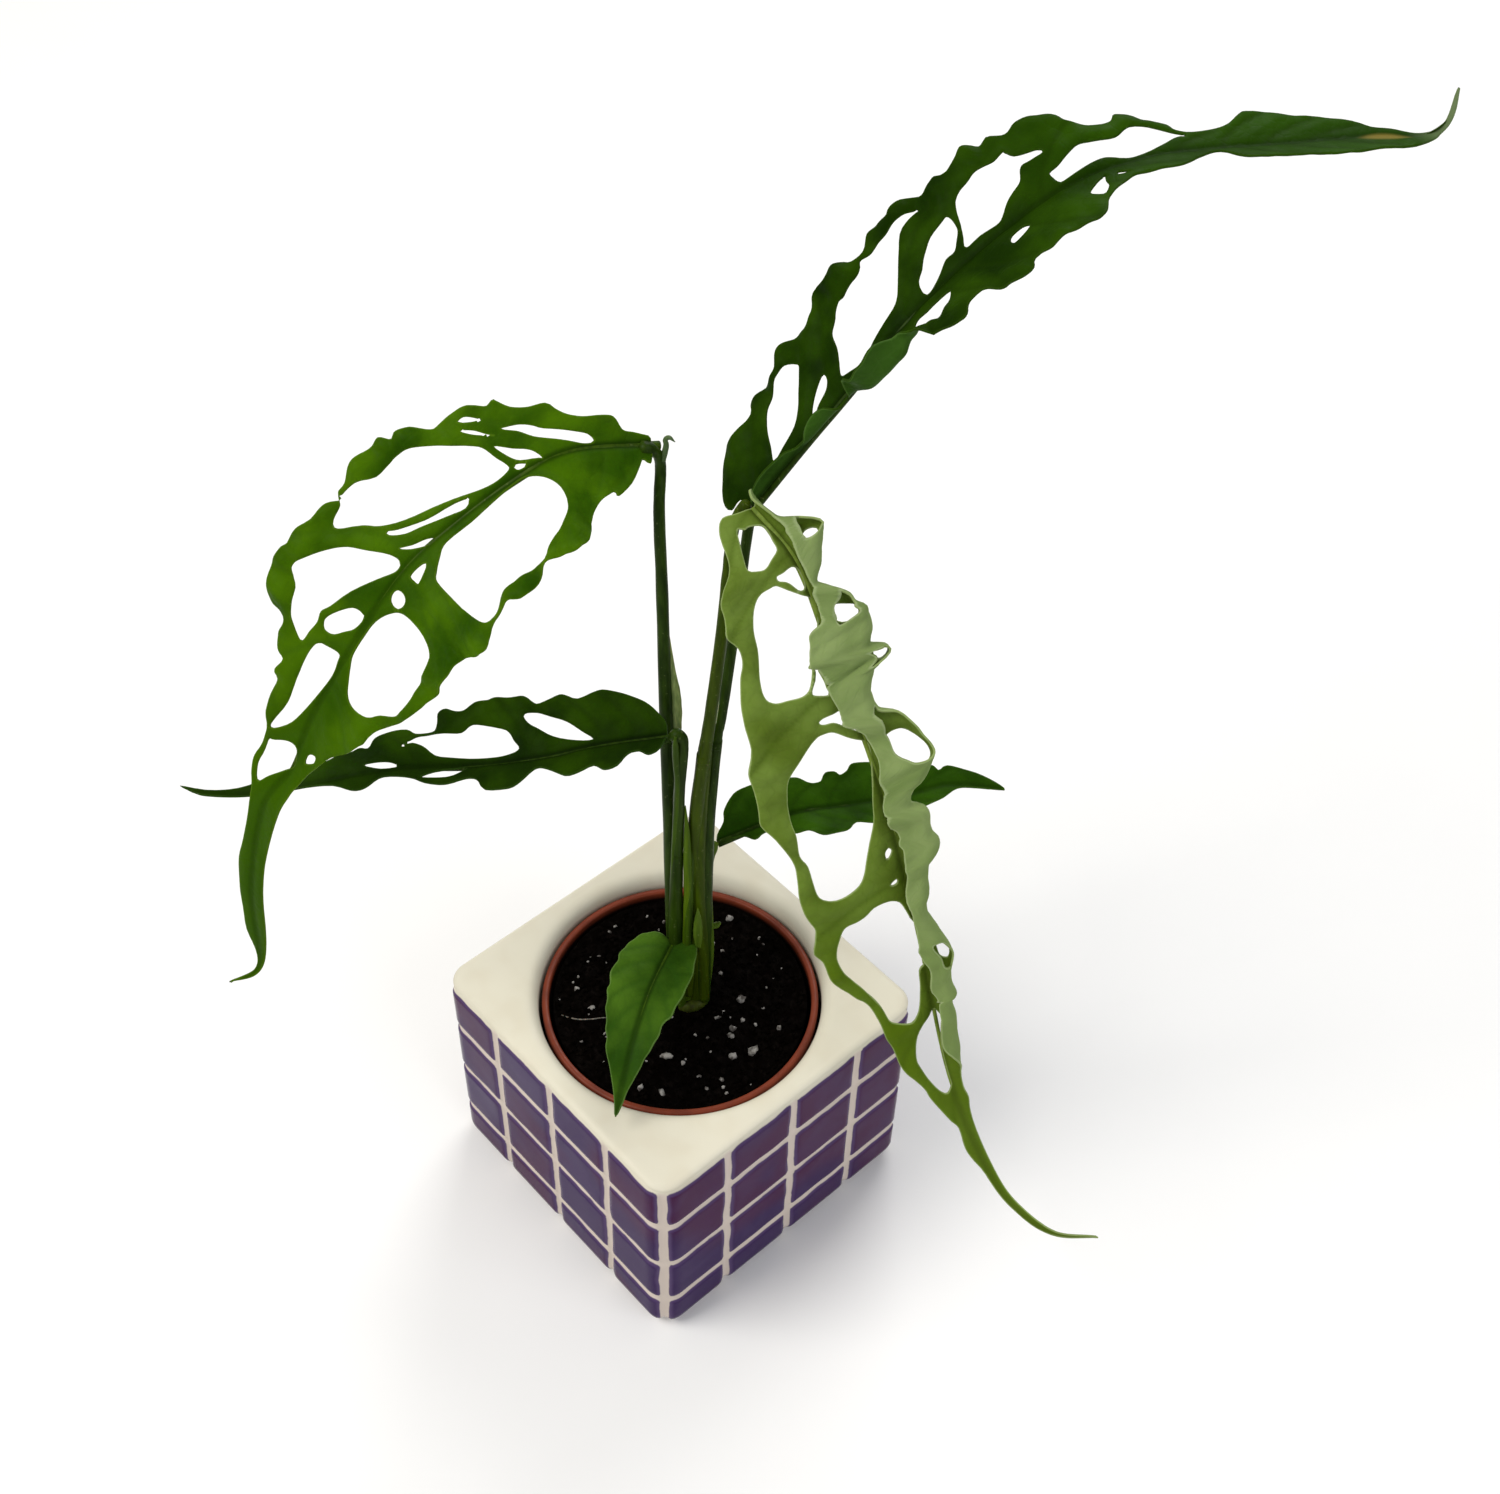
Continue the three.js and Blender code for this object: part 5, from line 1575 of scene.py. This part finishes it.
OUTLINE_STEPS = 3  # from each point of an outline or window to the next
MIDRIB_STEPS = 40  # the same for the midrib's line
VEIN_WIDTH = 0.65
VEIN_DEPTH = 0.35  # as a share of the quilting
QUILT_REACH = 3.5  # from a vein to where the blade has swollen fully
CALM_AT_MIDRIB = 3  # how far from the midrib the quilting starts
CALM_AT_EDGE = 1.5  # how far from an edge it ends
RIPPLE_LENGTH = 7.5
RIPPLE_REACH = 15  # how far from the midrib a ripple has its full height
GROOVE_DEPTH = 0.45
GROOVE_WIDTH = 0.7
MIDRIB_RADIUS = [(0, 1.0), (0.4, 0.6), (1, 0.18)]
MIDRIB_PITCH = 6  # between the points of the raised midrib


def ring_distance(points, ring):
    """Distance from each point to a closed ring, the nearest place on it, and whether the
    point lies inside it.
    """
    best = np.full(len(points), np.inf)
    nearest = np.zeros_like(points)
    inside = np.zeros(len(points), bool)
    for start, end in zip(ring, np.roll(ring, -1, axis=0)):
        side = end - start
        share = np.clip((points - start) @ side / max(side @ side, 1e-12), 0, 1)
        place = start + share[:, None] * side
        away = np.einsum("ij,ij->i", points - place, points - place)
        closer = away < best
        best[closer] = away[closer]
        nearest[closer] = place[closer]
        if start[1] != end[1]:
            crosses = (start[1] > points[:, 1]) != (end[1] > points[:, 1])
            at = start[0] + (points[:, 1] - start[1]) * side[0] / side[1]
            inside ^= crosses & (points[:, 0] < at)
    return np.sqrt(best), nearest, inside


def tissue_distance(points, rings):
    """Signed distance to a leaf's edges, positive in the leaf, and the nearest place on them."""
    best, nearest, tissue = ring_distance(points, rings[0])
    for ring in rings[1:]:
        low, high = ring.min(0) - 3, ring.max(0) + 3
        near = np.all((points > low) & (points < high), axis=1)
        if not near.any():
            continue
        distance, place, hole = ring_distance(points[near], ring)
        where = np.flatnonzero(near)
        tissue[where[hole]] = False
        closer = distance < best[where]
        best[where[closer]] = distance[closer]
        nearest[where[closer]] = place[closer]
    return np.where(tissue, best, -best), nearest


def lay_flat(verts, places):
    """Moves vertices to these places in the flat leaf's plane."""
    for vert, place in zip(verts, places):
        vert.co = (*place, 0)


def flat_sheet(rings, pitch):
    """A flat mesh of the leaf, cut along its outline and its windows. It lies in the plane of
    millimetres along and across the leaf.
    """
    low, high = rings[0].min(0) - pitch, rings[0].max(0) + pitch
    cells = np.ceil((high - low) / pitch).astype(int)
    bm = bmesh.new()
    bmesh.ops.create_grid(bm, x_segments=int(cells[0]), y_segments=int(cells[1]), size=1)
    verts = list(bm.verts)
    flat = np.array([vert.co.xy for vert in verts])
    flat = (flat - flat.min(0)) / (flat.max(0) - flat.min(0)) * (high - low) + low
    signed, nearest = tissue_distance(flat, rings)
    snap = np.abs(signed) < 0.24 * pitch
    flat[snap] = nearest[snap]
    signed[snap] = 0
    lay_flat(verts, flat)
    side = dict(zip(verts, signed))
    far = [face for face in bm.faces if all(side[v] < -1.5 * pitch for v in face.verts)]
    bmesh.ops.delete(bm, geom=far, context="FACES")
    on_edge = [vert for vert in bm.verts if side[vert] == 0]
    cut = []
    for edge in list(bm.edges):
        a, b = edge.verts
        if side[a] * side[b] < 0:
            cut.append((edge, a, side[a] / (side[a] - side[b])))
    for edge, vert, share in cut:
        on_edge.append(bmesh.utils.edge_split(edge, vert, share)[1])
    bmesh.ops.connect_verts(bm, verts=on_edge)
    _, nearest = tissue_distance(np.array([vert.co.xy for vert in on_edge]), rings)
    lay_flat(on_edge, nearest)
    faces = list(bm.faces)
    middles = np.array([face.calc_center_median().xy for face in faces])
    signed, _ = tissue_distance(middles, rings)
    bmesh.ops.delete(bm, geom=[f for f, s in zip(faces, signed) if s <= 0], context="FACES")
    bmesh.ops.dissolve_degenerate(bm, dist=0.01, edges=bm.edges)
    return bm


def unit_rows(rows):
    """Each row of an array as a direction of length one."""
    return rows / np.linalg.norm(rows, axis=1)[:, None]


class LeafSurface:
    """A leaf's curved surface: u runs along the midrib from the stalk, v across it."""

    def __init__(self, leaf):
        self.leaf = leaf
        self.line = flowing_line(leaf["midrib"], MIDRIB_STEPS)
        steps = np.linalg.norm(np.diff(self.line, axis=0), axis=1)
        self.travel = np.concatenate([[0], np.cumsum(steps)])
        self.along = tangents(self.line)

    def read(self, u, table):
        """Interpolates rows of a table kept at the stations of the midrib."""
        return np.stack([np.interp(u, self.travel, table[:, k]) for k in range(3)], axis=1)

    def section(self, half, u, across):
        """One half of the cross-section: its place out, its place up and its slope there."""
        fold = np.radians(smooth(half["fold"], u))
        turn = np.radians(smooth(half.get("turn", [(0, 0)]), u))
        start = smooth(half.get("start", [(0, 0)]), u)
        length = smooth(half.get("length", [(0, 1)]), u)
        straight = np.minimum(across, start)
        bent = np.clip(across - start, 0, length)
        rate = np.where(np.abs(turn) < 1e-5, 1e-5, turn) / length
        slope = fold + rate * bent
        rest = np.maximum(across - start - length, 0)
        out = straight * np.cos(fold) + (np.sin(slope) - np.sin(fold)) / rate
        up = straight * np.sin(fold) - (np.cos(slope) - np.cos(fold)) / rate
        return np.stack([out + rest * np.cos(slope), up + rest * np.sin(slope), slope])

    def place(self, flat, lift):
        """Points in space for points of the flat leaf, raised off the surface by lift."""
        u = np.clip(flat[:, 0], 0, self.travel[-1])
        across = np.abs(flat[:, 1])
        along = unit_rows(self.read(u, self.along))
        point = self.read(u, self.line) + along * (flat[:, 0] - u)[:, None]
        facing = np.array(self.leaf["facing"], float)
        up = unit_rows(facing - (along @ facing)[:, None] * along)
        on_right = flat[:, 1] < 0
        out, rise, slope = np.where(
            on_right,
            self.section(self.leaf["right"], u, across),
            self.section(self.leaf["left"], u, across),
        )
        outward = np.cross(up, along) * np.where(on_right, -1, 1)[:, None]
        point = point + outward * (out - lift * np.sin(slope))[:, None]
        return point + up * (rise + lift * np.cos(slope))[:, None]


def vein_samples(veins):
    """Points along the side veins, given as (start along, end along, end across)."""
    share = np.linspace(0, 1, 26)
    return np.concatenate(
        [
            np.stack([root + (end - root) * share**1.5, across * share**0.9], axis=1)
            for root, end, across in veins
        ]
    )


def ripples(flat, seed):
    """Waves along the margin, from -1 to 1, that differ between the leaf's two halves."""
    return np.array(
        [
            noise.noise(Vector((u / RIPPLE_LENGTH, (4 if v > 0 else 9) + v / 40, seed)))
            + 0.4 * noise.noise(Vector((u / 3, v / 6, seed + 5)))
            for u, v in flat
        ]
    )


def leaf_piece(node, sizes):
    """Builds one leaf: cut flat, bent to its surface, and given its thickness."""
    leaf, finish = LEAVES[node], LEAF_FINISH[node]
    blade, pitch, quilting = in_mm(sizes, "blade", "pitch", "quilting")
    rings = [
        flowing_line(ring, OUTLINE_STEPS, closed=True)
        for ring in [leaf["outline"], *leaf["windows"]]
    ]
    bm = flat_sheet(rings, pitch)
    rim_layer = bm.verts.layers.float.new("rim")
    vein_layer = bm.verts.layers.float.new("vein")
    leaf_map = bm.loops.layers.uv.new("leaf_mm")
    verts = list(bm.verts)
    flat = np.array([vert.co.xy for vert in verts])
    rim, _ = tissue_distance(flat, rings)
    to_vein = np.full(len(flat), np.inf)
    for sample in vein_samples(leaf["veins"]):
        to_vein = np.minimum(to_vein, np.hypot(*(flat - sample).T))
    vein = np.exp(-((to_vein / VEIN_WIDTH) ** 2))
    across = np.abs(flat[:, 1])
    quilt = quilting * (np.minimum(to_vein / QUILT_REACH, 1) ** 2 - VEIN_DEPTH * vein)
    quilt *= np.clip(across / CALM_AT_MIDRIB, 0, 1) * np.clip(rim / CALM_AT_EDGE, 0, 1)
    wave = ripples(flat, 10.0 * sorted(LEAVES).index(node))
    lift = quilt + finish.ripple * 1.6 * np.minimum(across / RIPPLE_REACH, 1.2) ** 2 * wave
    surface = LeafSurface(leaf)
    groove = GROOVE_DEPTH * np.clip(1 - flat[:, 0] / surface.travel[-1], 0.2, 1)
    lift -= groove * np.exp(-((across / GROOVE_WIDTH) ** 2))
    for vert, edge_distance, strength in zip(verts, rim, vein):
        vert[rim_layer] = abs(edge_distance)
        vert[vein_layer] = strength
    for face in bm.faces:
        for loop in face.loops:
            loop[leaf_map].uv = loop.vert.co.xy
    for vert, point in zip(verts, surface.place(flat, lift)):
        vert.co = point
    bm.normal_update()
    skins = [leaf_material(finish.upper), leaf_material(finish.under)]
    piece = finish_piece(bm, node + "_blade", skins, [node])
    shell = piece.modifiers.new("Blade thickness", "SOLIDIFY")
    shell.thickness = blade * MM
    shell.offset = 0
    shell.material_offset = 1
    shell.use_rim = True


def midrib_piece(node):
    """The raised midrib under a leaf, thick at the stalk and fine at the tip."""
    surface, finish = LeafSurface(LEAVES[node]), LEAF_FINISH[node]
    length = surface.travel[-1]
    stations = np.linspace(0, length, int(length / MIDRIB_PITCH))
    thick = smooth(MIDRIB_RADIUS, stations / length)
    line = surface.place(np.stack([stations, np.zeros_like(stations)], axis=1), -thick)
    strand = Strand(line, MIDRIB_RADIUS, finish.midrib)
    sweep_piece(node + "_midrib", [strand], [], finish.slot, sides=12)


class MONSTERA_OT_leaves(bpy.types.Operator):
    """Builds the six leaves with their windows, veins and midribs"""

    bl_idname = "monstera.leaves"
    bl_label = "Leaves"

    def execute(self, context):
        for node in LEAVES:
            leaf_piece(node, context.scene.foliage_sizes)
            midrib_piece(node)
        return {"FINISHED"}


# The stage


class Softbox(NamedTuple):
    """A square light: where it hangs and what it looks at in metres, its power and its colour"""

    place: tuple
    aim: tuple
    size: float
    watts: float
    colour: str


SOFTBOXES = {
    "key_softbox": Softbox((-0.35, -0.75, 1.1), (0, 0, 0.12), 0.7, 12, "#FFFDF8"),
    "fill_softbox": Softbox((0.9, 0.1, 0.7), (0, 0, 0.12), 0.8, 3.6, "#F2F5FF"),
    "back_softbox": Softbox((-0.5, 0.9, 0.9), (0, 0, 0.15), 0.7, 7, "#FFFFFF"),
}
SKY_COLOUR = "#F4F5F6"
SKY_STRENGTH = 0.4
FLOOR_HALF = 3  # metres

# The camera, solved on the planter's tile lines, its top and the pot's rim
CAMERA_LENS = 49.463
CAMERA_SENSOR = 36
CAMERA_PLACE = (0.21536, -0.18314, 0.46148)
CAMERA_TURN = (42.093, -1.151, 47.921)  # degrees about X, Y and Z


def add_softbox(name, box):
    """A square light that looks at a point."""
    light = bpy.data.lights.new(name, "AREA")
    light.shape = "SQUARE"
    light.size = box.size
    light.energy = box.watts
    light.color = linear(box.colour)[:3]
    lamp = bpy.data.objects.new(name, light)
    lamp.location = box.place
    towards = Vector(box.aim) - Vector(box.place)
    lamp.rotation_euler = towards.to_track_quat("-Z", "Y").to_euler()
    bpy.context.collection.objects.link(lamp)


class MONSTERA_OT_stage(bpy.types.Operator):
    """Sets the floor, the soft lights and the camera"""

    bl_idname = "monstera.stage"
    bl_label = "Stage"

    def execute(self, context):
        bm = bmesh.new()
        bmesh.ops.create_grid(bm, x_segments=8, y_segments=8, size=FLOOR_HALF)
        mesh = bpy.data.meshes.new("floor_board")
        bm.to_mesh(mesh)
        bm.free()
        mesh.materials.append(matt_board())
        floor = bpy.data.objects.new("floor_board", mesh)
        context.collection.objects.link(floor)
        for name, box in SOFTBOXES.items():
            add_softbox(name, box)
        world = bpy.data.worlds.new("studio")
        world.use_nodes = True
        sky = world.node_tree.nodes["Background"]
        set_inputs(
            world.node_tree, sky, {"Color": linear(SKY_COLOUR), "Strength": SKY_STRENGTH}
        )
        context.scene.world = world
        context.scene.view_settings.view_transform = "Standard"
        lens = bpy.data.cameras.new("camera")
        lens.lens = CAMERA_LENS
        lens.sensor_width = CAMERA_SENSOR
        lens.clip_start = 0.01
        camera = bpy.data.objects.new("camera", lens)
        camera.location = CAMERA_PLACE
        camera.rotation_euler = [math.radians(angle) for angle in CAMERA_TURN]
        context.collection.objects.link(camera)
        context.scene.camera = camera
        return {"FINISHED"}


class MONSTERA_PT_builder(bpy.types.Panel):
    """Lists the operators that build the potted monstera"""

    bl_idname = "MONSTERA_PT_builder"
    bl_label = "Potted monstera"
    bl_space_type = "VIEW_3D"
    bl_region_type = "UI"
    bl_category = "Monstera"

    def draw(self, context):
        for operator in OPERATORS:
            self.layout.operator(operator.bl_idname)


OPERATORS = [
    MONSTERA_OT_stage,
    MONSTERA_OT_planter,
    MONSTERA_OT_nursery_pot,
    MONSTERA_OT_potting_mix,
    MONSTERA_OT_stalks,
    MONSTERA_OT_leaves,
]
SETTINGS = {
    "planter_sizes": PlanterSizes,
    "potting_sizes": PottingSizes,
    "foliage_sizes": FoliageSizes,
    "finish_colours": FinishColours,
}


def register():
    """Adds the settings, operators and panel."""
    for name, group in SETTINGS.items():
        bpy.utils.register_class(group)
        setattr(bpy.types.Scene, name, bpy.props.PointerProperty(type=group))
    for cls in [*OPERATORS, MONSTERA_PT_builder]:
        bpy.utils.register_class(cls)


def unregister():
    """Takes the panel, operators and settings away again."""
    for cls in [MONSTERA_PT_builder, *reversed(OPERATORS)]:
        bpy.utils.unregister_class(cls)
    for name, group in reversed(SETTINGS.items()):
        delattr(bpy.types.Scene, name)
        bpy.utils.unregister_class(group)


def main():
    """Builds the whole model."""
    register()
    for operator in OPERATORS:
        getattr(bpy.ops.monstera, operator.bl_idname.split(".")[1])()


if __name__ == "__main__":
    main()
